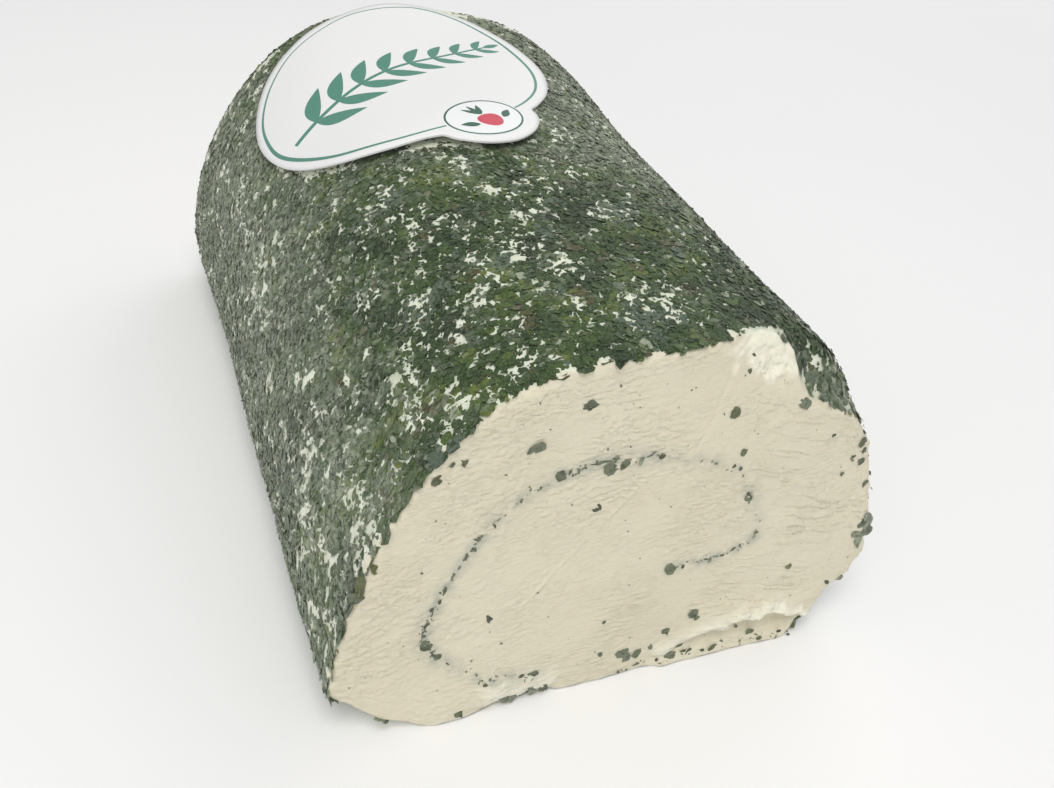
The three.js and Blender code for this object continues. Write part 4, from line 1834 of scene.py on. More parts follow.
    def _rim_crowd(self, kinds: int) -> Scatter:
        """Lays larger flakes that stick out along the edge of the cut.

        Args:
            kinds: How many kinds of flake there are.

        Returns:
            The flakes.
        """
        random = np.random.default_rng(self.seed + 9)
        shape = self.shape
        reach = shape.crown_length - shape.base_half_width - self.rim_short
        across = random.uniform(-reach, reach, self.rim_flakes)
        x, z = shape.section(shape.crown_length - across)
        left, right, above = self.rim_torn
        torn = (x > left) & (x < right) & (z > above)
        wiped = (x > self.rim_wiped[0]) & (z < self.rim_wiped[1])
        keep = ~torn & ~wiped & (z > self.rim_foot)
        across, x, z = across[keep], x[keep], z[keep]
        edge = shape.cut_depth(x, z) + self._edge(across, x, z)
        along = edge + random.uniform(*self.rim_behind, len(across))
        size = random.beta(*self.rim_spread, len(across))
        radius = self.rim_radius[0] + (self.rim_radius[1] - self.rim_radius[0]) * size
        radius *= 1.0 + self.larger_left.at(-x)
        lift = random.uniform(*self.rim_lift, len(across))
        tone, pale = self.tint.of(across, along, random)
        places = shape.coat_places(across, along)
        return Scatter.laid(places, radius, lift, self.rim_tilt, tone, pale, kinds, random)

    def build(self, tiny: FlakeKinds, small: FlakeKinds, large: FlakeKinds, finish: Material) -> None:
        """Lays the coat in strips round the roll, so that no piece grows too large.

        Args:
            tiny: The crumbs of the coat.
            small: The flakes of the coat.
            large: The flakes along the edge of the cut.
            finish: The herbs' material.
        """
        strips = ("left_low", "left_high", "right_high", "right_low")
        crowds = (("mat", self.mat, small), ("loose", self.loose, small), ("crumbs", self.crumbs, tiny))
        for layer, crowd, kinds in crowds:
            flakes = self._crowd(crowd, kinds.count)
            x = flakes.here[:, 0]
            limits = [-np.inf, *np.quantile(x, [0.25, 0.5, 0.75]), np.inf]
            for name, low, high in zip(strips, limits[:-1], limits[1:]):
                strip = flakes.where((x >= low) & (x < high))
                FlakeLayer(f"herb_coat_{layer}_{name}", kinds, finish).build(strip, self.shape, "herb_coat")
        rim = self._rim_crowd(large.count)
        FlakeLayer("herb_coat_rim", large, finish).build(rim, self.shape, "herb_coat")


@dataclass
class PressedHerbs:
    """Flakes pressed flat between the base and what the roll rests on."""

    shape: RollShape
    base_flakes: int = 3600
    side_margin: float = 1.0
    end_margins: Point = (4.0, 2.0)
    rise: float = 0.16
    radius: Point = (1.2, 2.6)
    tone_spread: Point = (1.5, 1.9)
    most_tone: float = 0.9
    pale: Point = (0.0, 0.7)
    thickness: float = 0.3
    seed: int = 77

    def scatter_base(self, kinds: int) -> Scatter:
        """Lays flakes in the thin gap under the cheese.

        Args:
            kinds: How many kinds of flake there are.

        Returns:
            The flakes.
        """
        random = np.random.default_rng(self.seed)
        count = self.base_flakes
        reach = self.shape.base_half_width + self.side_margin
        x = random.uniform(-reach, reach, count)
        y = random.uniform(self.end_margins[0], self.shape.length - self.end_margins[1], count)
        here = np.stack([x, y, np.full(count, self.rise)], -1)
        places = Places.level(here, (1, 0, 0), (0, -1, 0), (0, 0, -1))
        radius = random.uniform(*self.radius, count)
        tone = random.beta(*self.tone_spread, count) * self.most_tone
        pale = random.uniform(*self.pale, count)
        flakes = Scatter.laid(places, radius, np.zeros(count), 0.0, tone, pale, kinds, random)
        flakes.stretch[:, 2] = self.thickness / METRE
        return flakes


@dataclass
class HerbLayer:
    """The thin layer of herbs that the roll is rolled round."""

    shape: RollShape
    surface: CutSurface
    layer: LayerLine
    half_thickness: Point = (0.08, 0.42)
    flakes: int = 620
    wobble: float = 0.45
    wobbles: tuple[Grain, Grain] = (Grain(1.0, 7.0), Grain(0.6, 2.5, start=40.0))
    breaks: tuple[Grain, Grain] = (Grain(0.5, 3.1), Grain(0.4, 1.3))
    strong_share: float = 0.85
    thick_base: float = 0.5
    thick_grain: Grain = Grain(0.5, 3.0, start=9.0)
    thin_ends: float = 0.3
    far_turn: int = 5
    tone_base: float = 0.25
    tone_grain: Grain = Grain(0.25, 2.0)
    pale_base: float = 0.45
    pale_grain: Grain = Grain(0.5, 2.6, start=5.0)
    clump_least: float = 0.3
    clump_long: float = 5.0
    clumps: Rise = Rise(-0.3, 0.4, 0.7)
    stray: float = 0.04
    sunk: float = 1.3
    proud: float = 0.1
    far_flat: float = 0.4
    spill: float = 0.42
    near_share: float = 0.6
    near_tilt: float = 28.0
    far_tilt: float = 8.0
    flake_radius: Point = (0.3, 1.25)
    flake_spread: Point = (1.0, 3.2)
    flake_tone: Point = (0.0, 0.6)
    flake_pale: Point = (0.1, 1.0)
    flake_lift: Point = (-0.05, 0.06)
    seed: int = 12

    def _at(self, pick: Array) -> tuple[Array, Array]:
        """Gives the wobbling middle of the layer.

        Args:
            pick: Which points of the line are wanted.

        Returns:
            The points, and the way across the layer at each.
        """
        noise = SmoothNoise(self.seed + 3)
        tangent = unit(np.gradient(self.layer.line, axis=0))
        across = np.stack([-tangent[:, 1], tangent[:, 0]], 1)[pick]
        off = self.wobble * sum(grain.along(noise, pick) for grain in self.wobbles)
        return self.layer.line[pick] + across * off[:, None], across

    def build(self, finish: Material) -> Piece:
        """Makes the rolled sheet, whose edge dips into the cheese where its line breaks off.

        Args:
            finish: The herbs' material.

        Returns:
            The piece.
        """
        noise = SmoothNoise(self.seed)
        count = len(self.layer.line)
        pick = np.arange(count)
        middle, across = self._at(pick)
        strength = self.layer.strength
        shown = self.strong_share * strength + sum(grain.along(noise, pick) for grain in self.breaks)
        proud = np.minimum(self.proud, (self.sunk + self.proud) * shown - self.sunk)
        low, high = self.half_thickness
        half = low + (high - low) * strength * (self.thick_base + self.thick_grain.along(noise, pick))
        half[[0, -1]] *= self.thin_ends
        x, z = middle.T
        near = self.shape.cut_depth(x, z) + self.surface.level(x, z) - proud
        far = self.shape.length + np.roll(proud, count // self.far_turn)
        sides = [middle + across * (side * half)[:, None] for side in (-1.0, 1.0)]
        rings = []
        for flat, y in ((sides[0], near), (sides[0], far), (sides[1], far), (sides[1], near)):
            rings.append(np.stack([flat[:, 0], y, flat[:, 1]], -1))
        points = np.stack(rings, 1).reshape(-1, 3)
        faces: list[tuple[int, ...]] = []
        for i, k in itertools.product(range(count - 1), range(4)):
            a, b = 4 * i + k, 4 * i + (k + 1) % 4
            faces.append((a, a + 4, b + 4, b))
        faces += [(0, 1, 2, 3), tuple(4 * (count - 1) + k for k in (3, 2, 1, 0))]
        piece = new_piece("herb_layer_sheet", self.shape.to_frame(points), faces, finish)
        tone = self.tone_base + self.tone_grain.along(noise, pick)
        pale = np.clip(self.pale_base + self.pale_grain.along(noise, pick), 0.0, 1.0)
        set_attribute(piece.data, "tone", np.repeat(tone, 4))
        set_attribute(piece.data, "pale", np.repeat(pale, 4))
        hand_in(piece, "herb_layer", "herb_layer")
        return piece

    def scatter(self, kinds: int) -> Scatter:
        """Lays small flakes along the line at both ends of the sheet.

        Args:
            kinds: How many kinds of flake there are.

        Returns:
            The flakes.
        """
        random = np.random.default_rng(self.seed)
        noise = SmoothNoise(self.seed + 1)
        pick = random.integers(0, len(self.layer.line), self.flakes)
        clump = self.clump_least + self.clumps.at(noise.at(pick / self.clump_long))
        chance = self.layer.strength[pick] * clump + self.stray
        pick = pick[random.uniform(0, 1, len(pick)) < chance]
        count = len(pick)
        middle, _ = self._at(pick)
        x, z = (middle + random.normal(0.0, self.spill, (count, 2))).T
        near = random.uniform(0, 1, count) < self.near_share
        places = self.shape.face_places(x, z)
        places.here[:, 1] += self.surface.level(x, z)
        places.here[~near, 1] = self.shape.length
        places.normal[~near] = [0.0, 1.0, 0.0]
        places.across[~near] = [-1.0, 0.0, 0.0]
        places.along[~near] = [0.0, 0.0, 1.0]
        radius = self.flake_radius[0] + self.flake_radius[1] * random.beta(*self.flake_spread, count)
        tone = random.uniform(*self.flake_tone, count)
        pale = random.uniform(*self.flake_pale, count)
        lift = random.uniform(*self.flake_lift, count)
        tilt = np.where(near, self.near_tilt, self.far_tilt)
        flakes = Scatter.laid(places, radius, lift, tilt, tone, pale, kinds, random)
        flakes.stretch[~near, 2] *= self.far_flat
        return flakes


@dataclass(frozen=True)
class FaceFlake:
    """A larger flake that shows in the cut face."""

    x: float
    z: float
    size: float
    tone: float = 0.35
    pale: float = 0.35


@dataclass
class FaceHerbs:
    """The flakes and specks in the cut face, and those in the far one."""

    shape: RollShape
    surface: CutSurface
    specks: int = 130
    foot_flakes: int = 44
    foot_across: Point = (-2.0, 52.0)
    foot_up: Point = (0.5, 2.4)
    far_flakes: int = 26
    size_gain: float = 1.22
    listed_lift: float = 0.1
    listed_tilt: float = 9.0
    strewn_tilt: float = 14.0
    strewn_lift: Point = (-0.05, 0.08)
    strewn_reach: Point = (0.96, 0.4)
    strewn_tones: Point = (0.0, 0.7)
    speck_spread: Point = (1.2, 4.0)
    speck_radius: Point = (0.15, 0.5)
    foot_spread: Point = (1.2, 2.5)
    foot_radius: Point = (0.3, 1.2)
    far_reach: Point = (0.9, 0.5)
    far_radius: tuple[Point, Point] = ((0.8, 2.1), (0.15, 0.5))
    far_tones: tuple[Point, Point] = ((0.0, 0.8), (0.1, 0.7))
    far_lift: float = 0.05
    far_tilt: float = 8.0
    far_flat: float = 0.4
    seed: int = 41
    flakes: tuple[tuple[float, ...], ...] = (
        (0.2, 6.6, 4.4, 0.9, 0.35), (1.9, 5.0, 3.2, 0.3, 0.5), (4.9, 5.4, 4.4, 0.5, 0.3),
        (8.6, 6.1, 2.5, 0.3, 0.5), (12.4, 10.3, 2.8), (19.5, 14.0, 3.2, 0.2, 0.4),
        (20.6, 12.7, 1.8, 0.5, 0.4), (-6.6, 18.6, 1.3), (-6.2, 8.5, 1.4), (17.8, 3.2, 2.6),
        (28.9, 6.7, 2.6, 1.0, 0.3), (27.1, 1.2, 2.8, 0.6, 0.2), (35.5, 4.4, 1.8),
        (39.4, 2.9, 3.6, 0.3, 0.4), (42.0, 1.2, 2.0, 0.2), (53.8, 4.8, 2.6, 0.1, 0.2),
        (60.6, 15.0, 1.6, 0.1, 0.2), (46.5, 22.8, 1.8, 0.8, 0.3), (57.9, 53.0, 2.2, 0.4),
        (60.0, 57.4, 3.2, 0.4, 0.2), (61.2, 54.6, 1.9, 0.3), (61.2, 51.5, 2.6, 0.3, 0.4),
        (56.1, 48.7, 1.5), (64.9, 44.4, 2.2), (37.9, 71.0, 3.5, 0.3, 0.6), (49.4, 61.2, 1.5),
        (27.5, 47.6, 3.0, 0.4, 0.5), (23.1, 56.5, 1.4), (22.8, 61.1, 2.3, 0.85, 0.2),
        (18.3, 71.6, 2.8, 0.5, 0.3), (-11.6, 61.9, 4.6, 0.4, 0.4), (-8.0, 62.6, 2.6, 0.3, 0.4),
        (-23.6, 62.4, 3.6, 0.3, 0.35), (-18.9, 78.8, 3.5, 0.1, 0.3), (-29.8, 70.2, 4.0, 0.2, 0.5),
        (-51.1, 66.8, 2.8, 0.5, 0.2), (-45.6, 69.5, 2.4, 0.5, 0.2), (-48.1, 69.7, 1.5),
        (-13.3, 51.7, 2.8, 0.1, 0.25), (-36.7, 27.5, 2.8, 0.1, 0.25), (-63.3, 47.9, 3.6, 0.75, 0.1),
        (-66.2, 44.2, 4.6, 0.66, 0.2), (-67.2, 41.4, 4.0, 0.5, 0.3), (-47.9, 38.4, 1.8),
        (-51.4, 24.1, 3.0, 0.3, 0.3), (-48.4, 19.8, 2.3), (-42.5, 1.8, 2.6), (21.5, 80.1, 1.5),
        (22.2, 83.4, 1.5), (9.5, 30.8, 3.6, 0.5, 0.4), (-24.0, 8.0, 3.4, 0.3, 0.4),
        (69.0, 33.8, 3.6, 0.35, 0.8), (70.0, 31.6, 4.4, 0.9, 0.9), (67.8, 31.8, 3.2, 0.1, 0.3),
        (68.6, 26.4, 4.0, 0.5, 1.1), (66.6, 28.4, 3.4, 1.0, 0.7), (70.2, 28.8, 3.6, 0.1, 0.5),
        (14.6, 1.8, 4.4, 0.9, 0.4), (-31.2, 2.6, 3.8, 0.4, 0.6), (-28.6, 2.3, 3.6, 0.9, 0.6),
        (-26.2, 2.2, 3.8, 0.3, 0.7), (-23.6, 2.5, 3.6, 0.9, 0.7), (-21.2, 2.9, 3.2, 0.3, 0.4),
        (-36.4, 8.6, 2.0, 0.5, 0.2), (-27.2, 8.4, 1.5, 0.3, 0.2),
    )

    def _on_face(self, x: Array, z: Array) -> Places:
        """Finds places on the torn surface of the cut face.

        Args:
            x: Where they lie across the face.
            z: Where they lie up the face.

        Returns:
            The places.
        """
        places = self.shape.face_places(x, z)
        places.here[:, 1] += self.surface.level(x, z)
        return places

    def _listed(self, kinds: int) -> Scatter:
        """Lays the large flakes where they show.

        Args:
            kinds: How many kinds of flake there are.

        Returns:
            The flakes.
        """
        random = np.random.default_rng(self.seed)
        x, z, size, tone, pale = np.array([astuple(FaceFlake(*row)) for row in self.flakes]).T
        lift = np.full(len(x), self.listed_lift)
        radius = self.size_gain * size / 2
        return Scatter.laid(self._on_face(x, z), radius, lift, self.listed_tilt, tone, pale, kinds, random)

    def _strewn(self, kinds: int) -> Scatter:
        """Lays the specks, and the flakes along the foot, by a seeded rule.

        Args:
            kinds: How many kinds of flake there are.

        Returns:
            The flakes.
        """
        random = np.random.default_rng(self.seed + 2)
        shape = self.shape
        reach = self.strewn_reach[0] * random.uniform(0.0, 1.0, self.specks) ** self.strewn_reach[1]
        x, z = shape.inside_rim(random.uniform(0.0, shape.run[-1], self.specks), reach)
        x = np.concatenate([x, random.uniform(*self.foot_across, self.foot_flakes)])
        z = np.concatenate([z, random.uniform(*self.foot_up, self.foot_flakes)])
        small = random.beta(*self.speck_spread, self.specks)
        middling = random.beta(*self.foot_spread, self.foot_flakes)
        (least, more), (foot_least, foot_more) = self.speck_radius, self.foot_radius
        radius = np.concatenate([least + more * small, foot_least + foot_more * middling])
        tone, pale = (random.uniform(*self.strewn_tones, len(x)) for _ in range(2))
        lift = random.uniform(*self.strewn_lift, len(x))
        return Scatter.laid(self._on_face(x, z), radius, lift, self.strewn_tilt, tone, pale, kinds, random)

    def _far(self, kinds: int) -> Scatter:
        """Lays flakes and specks in the far face by a seeded rule.

        Args:
            kinds: How many kinds of flake there are.

        Returns:
            The flakes.
        """
        random = np.random.default_rng(self.seed + 1)
        shape = self.shape
        count = self.far_flakes + self.specks // 2
        x, z = shape.section(random.uniform(0.0, shape.run[-1], count))
        reach = random.uniform(0.0, 1.0, count) ** self.far_reach[1] * self.far_reach[0]
        middle = shape.face_middle[1]
        here = np.stack([x * reach, np.full(count, shape.length), middle + (z - middle) * reach], -1)
        places = Places.level(here, (-1, 0, 0), (0, 0, 1), (0, 1, 0))
        large = np.arange(count) < self.far_flakes
        wide, narrow = (random.uniform(*limits, count) for limits in self.far_radius)
        radius = np.where(large, wide, narrow)
        tone, pale = (random.uniform(*limits, count) for limits in self.far_tones)
        lift = np.full(count, self.far_lift)
        flakes = Scatter.laid(places, radius, lift, self.far_tilt, tone, pale, kinds, random)
        flakes.stretch[:, 2] *= self.far_flat
        return flakes

    def build(self, fine: FlakeKinds, large: FlakeKinds, finish: Material) -> None:
        """Lays the flakes of both faces.

        Args:
            fine: The specks and the smaller flakes.
            large: The flakes that are listed.
            finish: The herbs' material.
        """
        crowds = (
            ("face_herbs", large, self._listed),
            ("face_specks", fine, self._strewn),
            ("far_face_herbs", fine, self._far),
        )
        for name, kinds, lay in crowds:
            FlakeLayer(name, kinds, finish).build(lay(kinds.count), self.shape, "herb_coat")


@dataclass
class CardLabel:
    """The die-cut card label on the crown, with its printed border, herb sprig and badge."""

    shape: RollShape
    outline: CardOutline
    thickness: float = 0.5
    gap: float = 0.65
    lift: float = 2.2
    forward: Rise = Rise(8.0, 46.0, 0.75)
    sideways: Rise = Rise(24.0, 50.0, 0.45)
    rings: int = 26
    rim_points: int = 220
    border_points: int = 240
    stem_points: int = 60
    stem_half: Point = (0.8, 0.35)
    leaf_points: int = 17
    leaf_power: Point = (0.85, 0.9)
    leaf_steps: tuple[int, int, int] = (7, 58, 7)
    leaf_long: Point = (15.5, 1.1)
    leaf_lean: Point = (50.0, 2.0)
    leaf_wide: float = 0.33
    leaf_bend: float = 0.09
    tip_size: Point = (6.5, 2.4)
    print_rings: int = 3
    ink_height: float = 0.05
    ink_depth: float = 0.1
    stem: tuple[Point, ...] = ((-38, -13), (-24, -7), (-6, 1), (12, 7), (28, 13.5))
    badge_middle: Point = (9.9, -35.9)
    badge_size: Point = (12.4, 9.3)
    badge_turn: float = 29.0
    badge_points: int = 64
    badge_heights: Point = (0.1, 0.16)
    badge_ring: Point = (0.94, 0.26)
    bulb_size: Point = (3.7, 3.1)
    bulb_taper: float = 0.22
    bulb_drop: float = 1.6
    blades: tuple[float, ...] = (58.0, 90.0, 122.0)
    blade_root: float = 1.2
    blade_size: Point = (5.4, 1.5)
    side_leaf_root: Point = (4.6, -2.6)
    side_leaf_lean: float = 62.0
    side_leaf_size: Point = (5.2, 2.2)
    border: tuple[tuple[float, float, float], ...] = (
        (9.7, 42, 0.2), (-5.4, 39.9, 0.18), (-17.3, 35.8, 0.18), (-29, 30.9, 0.22),
        (-38.8, 21.3, 0.32), (-44.4, 9.8, 0.42), (-45.2, -1, 0.5), (-43.4, -10.9, 0.56),
        (-36.1, -23.7, 0.56), (-26, -34.6, 0.46), (-13.6, -40.5, 0.34), (-1.9, -40, 0.26),
        (10, -36, 0.24), (21.7, -29.1, 0.26), (32.1, -17.6, 0.36), (36.2, -7, 0.44), (36.3, 7.7, 0.46),
        (33.8, 22, 0.42), (27, 34.5, 0.34), (17, 41, 0.25),
    )

    def clearance(self, across: Array, along: Array) -> Array:
        """Gives the height of the card's underside over the cheese."""
        return self.gap + self.lift * (self.forward.at(-along) + self.sideways.at(np.abs(across)))

    def points(self, flat: Array, height: float | Array) -> Array:
        """Bends points of the card's plan over the crown.

        Args:
            flat: Points round the card's centre, across and along.
            height: Their height over the card's underside.

        Returns:
            The points in the roll's own frame.
        """
        u, v = flat[..., 0], flat[..., 1]
        places = self.shape.coat_places(self.outline.centre[0] + u, self.outline.centre[1] + v)
        rise = self.clearance(u, v) + height
        return places.here + places.normal * rise[..., None]

    def _plaque(self, name: str, rim: Array, low: float, high: float, rings: int, finish: Material) -> Piece:
        """Makes a thin closed plate of any outline that lies on the card.

        Args:
            name: The piece's name.
            rim: Its outline round the card's centre.
            low: The height of its underside over the card's underside.
            high: The height of its top.
            rings: How many rings it has from its middle to its rim.
            finish: Its material.

        Returns:
            The piece.
        """
        middle = rim.mean(axis=0)
        scales = np.linspace(0.0, 1.0, rings + 1)[1:]
        over = [self.points(middle + (rim - middle) * scale, high) for scale in scales]
        under = [self.points(middle + (rim - middle) * scale, low) for scale in scales[::-1]]
        poles = [self.points(middle[None], height) for height in (high, low)]
        points = self.shape.to_frame(np.concatenate([*over, *under, *poles]))
        return new_piece(name, points, skin_faces([len(rim)] * (2 * rings)), finish)

    def _stroke(self, line: Array, half: Array, level: int, closed: bool, finish: Material) -> Piece:
        """Makes a thin printed stroke along a line on the card.

        Args:
            line: The middle of the stroke, round the card's centre.
            half: Half of its width at each point.
            level: How many inks lie under it.
            closed: Whether the line returns to its first point.
            finish: Its material.

        Returns:
            The piece.
        """
        if closed:
            tangent = unit(np.roll(line, -1, axis=0) - np.roll(line, 1, axis=0))
        else:
            tangent = unit(np.gradient(line, axis=0))
        across = np.stack([-tangent[:, 1], tangent[:, 0]], 1)
        low = self.thickness - self.ink_depth
        high = self.thickness + self.ink_height * (1 + level)
        left, right = (line + across * (side * half)[:, None] for side in (1.0, -1.0))
        rows = [self.points(flat, h) for flat, h in ((left, high), (right, high), (right, low), (left, low))]
        points = self.shape.to_frame(np.stack(rows, 1).reshape(-1, 3))
        count = len(line)
        faces: list[tuple[int, ...]] = []
        for i, k in itertools.product(range(count if closed else count - 1), range(4)):
            a, b = 4 * i + k, 4 * i + (k + 1) % 4
            c, d = (a + 4) % (4 * count), (b + 4) % (4 * count)
            faces.append((a, b, d, c))
        if not closed:
            faces += [(3, 2, 1, 0), tuple(4 * (count - 1) + k for k in range(4))]
        return new_piece("print", points, faces, finish)

    def _leaf(self, root: Array, heading: float, length: float, width: float, bend: float = 0.0) -> Array:
        """Gives the outline of a pointed leaf.

        Args:
            root: Where the leaf meets its stem.
            heading: The way it points, in radians.
            length: Its length.
            width: Its greatest width.
            bend: How far its middle bows out to its left, as a share of its length.

        Returns:
            The outline, once round.
        """
        t = np.linspace(0.0, 1.0, self.leaf_points)
        skew, full = self.leaf_power
        swell = width / 2 * np.sin(math.pi * t**skew) ** full
        along = np.concatenate([t, t[-2:0:-1]])
        side = np.concatenate([-swell, swell[-2:0:-1]]) + bend * length * np.sin(math.pi * along)
        c, s = math.cos(heading), math.sin(heading)
        return root + np.stack([along * length * c - side * s, along * length * s + side * c], 1)

    def _sprig(self, teal: Material) -> list[Piece]:
        """Prints a herb sprig across the card.

        Args:
            teal: Its ink.

        Returns:
            The pieces of print.
        """
        stem = smooth_curve(self.stem, self.stem_points, closed=False)
        inks = [self._stroke(stem, np.linspace(*self.stem_half, len(stem)), 0, False, teal)]
        tangent = unit(np.gradient(stem, axis=0))
        low, high = self.thickness - self.ink_depth, self.thickness + self.ink_height
        for number, i in enumerate(range(*self.leaf_steps)):
            heading = math.atan2(tangent[i, 1], tangent[i, 0])
            size = self.leaf_long[0] - self.leaf_long[1] * number
            lean = math.radians(self.leaf_lean[0] - self.leaf_lean[1] * number)
            for side in (1.0, -1.0):
                wide, bend = self.leaf_wide * size, self.leaf_bend * side
                outline = self._leaf(stem[i], heading + side * lean, size, wide, bend)
                inks.append(self._plaque("print", outline, low, high, self.print_rings, teal))
        tip = self._leaf(stem[-1], math.atan2(tangent[-1, 1], tangent[-1, 0]), *self.tip_size)
        inks.append(self._plaque("print", tip, low, high, self.print_rings, teal))
        return inks

    def _badge(self, dark: Material, white: Material, red: Material) -> list[Piece]:
        """Prints an oval badge with a bulb and its leaves on the lobe.

        Args:
            dark: The ink of the ring and the leaves.
            white: The ink of the ground.
            red: The ink of the bulb.

        Returns:
            The pieces of print.
        """
        angle = np.linspace(0, 2 * math.pi, self.badge_points, endpoint=False)
        middle, (long, short) = np.array(self.badge_middle), self.badge_size
        turn = math.radians(self.badge_turn)
        axes = np.array([[math.cos(turn), math.sin(turn)], [-math.sin(turn), math.cos(turn)]])

        def placed(points: Array) -> Array:
            """Turns points of the badge's own plan onto the card."""
            return middle + points @ axes

        oval = np.stack([long * np.cos(angle), short * np.sin(angle)], 1)
        heights = (-self.ink_depth, *self.badge_heights)
        low, ground, high = (self.thickness + height for height in heights)
        inset, half = self.badge_ring
        inks = [self._plaque("print", placed(oval), low, ground, 6, white)]
        inks.append(self._stroke(placed(oval * inset), np.full(len(oval), half), 2, True, dark))
        wide, high_half = self.bulb_size
        taper = 1 - self.bulb_taper * np.sin(angle)
        bulb = np.stack([wide * np.cos(angle), high_half * np.sin(angle) * taper], 1)
        bulb = placed(bulb - [0.0, self.bulb_drop])
        inks.append(self._plaque("print", bulb, low, high, self.print_rings, red))
        for heading in self.blades:
            blade = self._leaf(np.array([0.0, self.blade_root]), math.radians(heading), *self.blade_size)
            inks.append(self._plaque("print", placed(blade), low, high, 2, dark))
        for side in (-1.0, 1.0):
            root = np.array([side * self.side_leaf_root[0], self.side_leaf_root[1]])
            lean = math.radians(90.0 - self.side_leaf_lean * side)
            leaf = self._leaf(root, lean, *self.side_leaf_size)
            inks.append(self._plaque("print", placed(leaf), low, high, 2, dark))
        return inks

    def build(self) -> None:
        """Makes the card and its print."""
        card = CardFinish().build()
        teal = InkFinish("teal_ink", (80, 138, 120), (92, 148, 132)).build()
        dark = InkFinish("dark_green_ink", (52, 96, 78), (66, 112, 94)).build()
        white = InkFinish("white_ink", (243, 245, 246), (238, 241, 242)).build()
        red = InkFinish("red_ink", (205, 66, 84), (214, 92, 106)).build()
        rim = self.outline.rim(self.rim_points)
        board = self._plaque("card_board", rim, 0.0, self.thickness, self.rings, card)
        smooth = np.ones(len(board.data.polygons), bool)
        smooth[(self.rings - 1) * len(rim) : self.rings * len(rim)] = False
        board.data.polygons.foreach_set("use_smooth", smooth)
        hand_in(board, "label_card", "card_label")
        border = smooth_curve(self.border, self.border_points, closed=True)
        inks = [self._stroke(border[:, :2], border[:, 2], 0, True, teal)]
        inks += self._sprig(teal)
        inks += self._badge(dark, white, red)
        for number, ink in enumerate(inks):
            ink.name = f"print_{number:02d}"
            hand_in(ink, "label_ink")


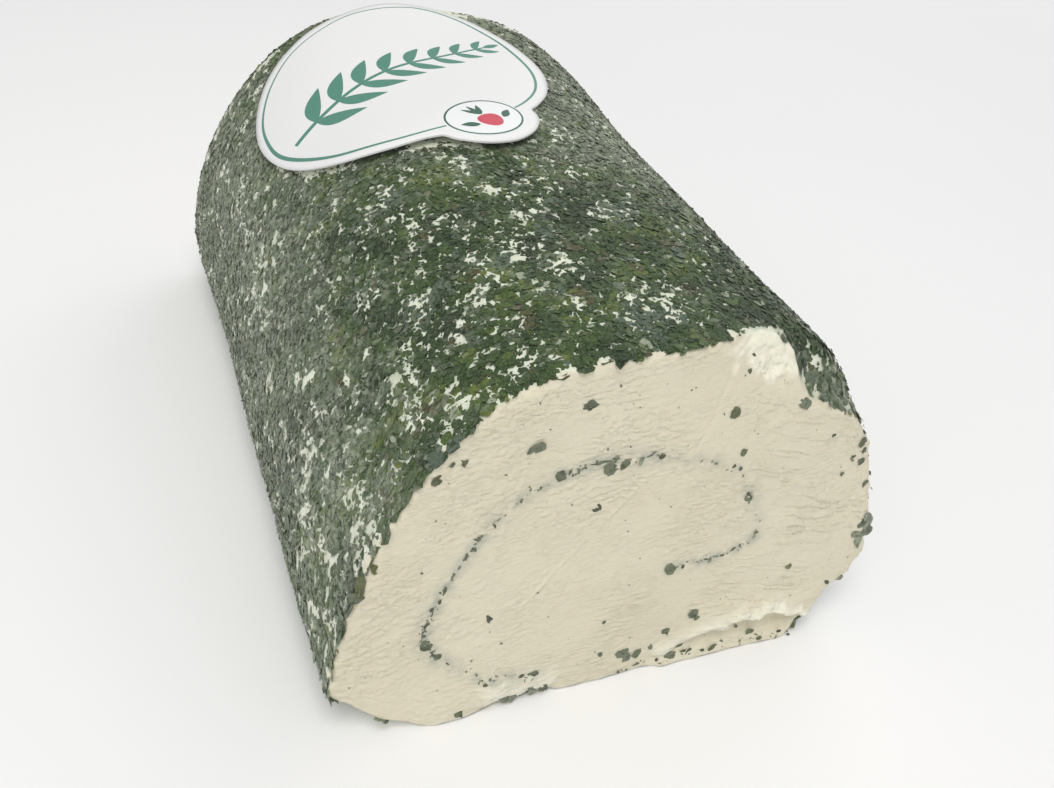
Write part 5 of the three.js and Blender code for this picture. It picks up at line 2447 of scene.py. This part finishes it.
@dataclass
class Studio:
    """The pale floor, the soft lights and the camera."""

    shape: RollShape
    eye: tuple[float, float, float] = (-109.3, -114.5, 203.0)
    azimuth: float = 30.15
    elevation: float = 38.43
    roll: float = 12.47
    focal_share: float = 0.9377
    sensor_mm: float = 36.0
    floor_tones: tuple[Colour, Colour] = ((250, 250, 250), (246, 246, 247))
    floor_side: float = 4.0
    lamp_aim: tuple[float, float, float] = (0.0, 0.0, 0.04)
    clip: Point = (0.01, 20.0)
    floor_cloud: Point = (0.004, 2.0)
    floor_roughness: float = 0.7
    world_strength: float = 0.5
    lamps: tuple[tuple[str, Colour, float, float, Colour], ...] = (
        ("key", (-0.25, -0.35, 1.05), 0.6, 5.4, (255, 253, 248)),
        ("fill", (-0.8, -0.9, 0.55), 1.0, 2.6, (250, 251, 255)),
        ("back", (0.8, 0.7, 0.8), 0.9, 3.2, (250, 251, 255)),
    )

    def camera(self) -> None:
        """Sets the camera where the photographer stood."""
        data = bpy.data.cameras.new("photo_camera")
        data.sensor_width = self.sensor_mm
        data.lens = self.sensor_mm * self.focal_share
        data.clip_start, data.clip_end = self.clip
        camera = bpy.data.objects.new("photo_camera", data)
        azimuth, elevation, roll = (math.radians(a) for a in (self.azimuth, self.elevation, self.roll))
        flat = math.cos(elevation)
        ahead = Vector((math.sin(azimuth) * flat, math.cos(azimuth) * flat, -math.sin(elevation)))
        level = ahead.cross(Vector((0, 0, 1))).normalized()
        up = level.cross(ahead)
        right = level * math.cos(roll) + up * math.sin(roll)
        up = right.cross(ahead)
        turn = Matrix((right, up, -ahead)).transposed().to_4x4()
        eye = self.shape.to_frame(np.array(self.eye))
        camera.matrix_world = Matrix.Translation(Vector(eye)) @ turn
        bpy.context.scene.collection.objects.link(camera)
        bpy.context.scene.camera = camera

    def floor(self) -> None:
        """Lays a wide pale floor."""
        material, graph, shader = new_material("pale_floor")
        cloud = graph.noise(graph.place(), *self.floor_cloud)
        light, dark = (linear(tone) for tone in self.floor_tones)
        graph.link(graph.mix(cloud, light, dark), shader.inputs["Base Color"])
        shader.inputs["Roughness"].default_value = self.floor_roughness
        side = self.floor_side
        corners = np.array([[-side, -side, 0], [side, -side, 0], [side, side, 0], [-side, side, 0]])
        new_piece("studio_floor", corners, [(0, 1, 2, 3)], material)

    def light(self, name: str, place: Sequence[float], size: float, power: float, tint: Colour) -> None:
        """Adds a soft square light that faces the roll.

        Args:
            name: The light's name.
            place: Where it is, in metres.
            size: The length of its side, in metres.
            power: Its power in watts.
            tint: Its colour, as screen values.
        """
        data = bpy.data.lights.new(name, "AREA")
        data.size = size
        data.energy = power
        data.color = linear(tint)[:3]
        lamp = bpy.data.objects.new(name, data)
        lamp.location = place
        lamp.rotation_euler = (Vector(self.lamp_aim) - Vector(place)).to_track_quat("-Z", "Y").to_euler()
        bpy.context.scene.collection.objects.link(lamp)

    def build(self) -> None:
        """Makes the whole studio."""
        self.camera()
        self.floor()
        for lamp in self.lamps:
            self.light(*lamp)
        world = bpy.data.worlds.new("studio")
        world.use_nodes = True
        backdrop = world.node_tree.nodes["Background"]
        backdrop.inputs["Color"].default_value = (1.0, 1.0, 1.0, 1.0)
        backdrop.inputs["Strength"].default_value = self.world_strength
        bpy.context.scene.world = world
        bpy.context.scene.view_settings.view_transform = "Standard"


def main() -> None:
    """Builds every piece in order."""
    logging.basicConfig(level=logging.INFO, format="%(name)s: %(message)s")
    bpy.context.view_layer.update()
    shape = RollShape()
    Studio(shape).build()
    line = LayerLine()
    surface = CutSurface()
    CheeseBody(shape, surface, line).build(CheeseFinish().build())
    coat_herbs = HerbFinish("coat_herbs").build()
    tiny = FlakeKinds(corners=4, rings=1, seed=6).build()
    small = FlakeKinds(corners=6, rings=1, seed=3).build()
    fine = FlakeKinds(corners=9, rings=2, seed=10).build()
    large = FlakeKinds(15, 3, seed=8, mixed=((FlakeForm.SHARD, 10), (FlakeForm.LEAF, 2))).build()
    outline = CardOutline()
    HerbCoat(shape, outline).build(tiny, small, large, coat_herbs)
    pressed = PressedHerbs(shape).scatter_base(small.count)
    FlakeLayer("herb_coat_base", small, coat_herbs).build(pressed, shape, "herb_coat")
    face_herbs = HerbFinish("face_herbs", tones=MOIST_TONES).build()
    FaceHerbs(shape, surface).build(fine, large, face_herbs)
    layer = HerbLayer(shape, surface, line)
    layer_herbs = HerbFinish("layer_herbs", tones=MOIST_TONES).build()
    layer.build(layer_herbs)
    FlakeLayer("herb_layer_flakes", fine, layer_herbs).build(layer.scatter(fine.count), shape, "herb_layer")
    for kinds in (tiny, small, fine, large):
        kinds.clear()
    CardLabel(shape, outline).build()


if __name__ == "__main__":
    main()
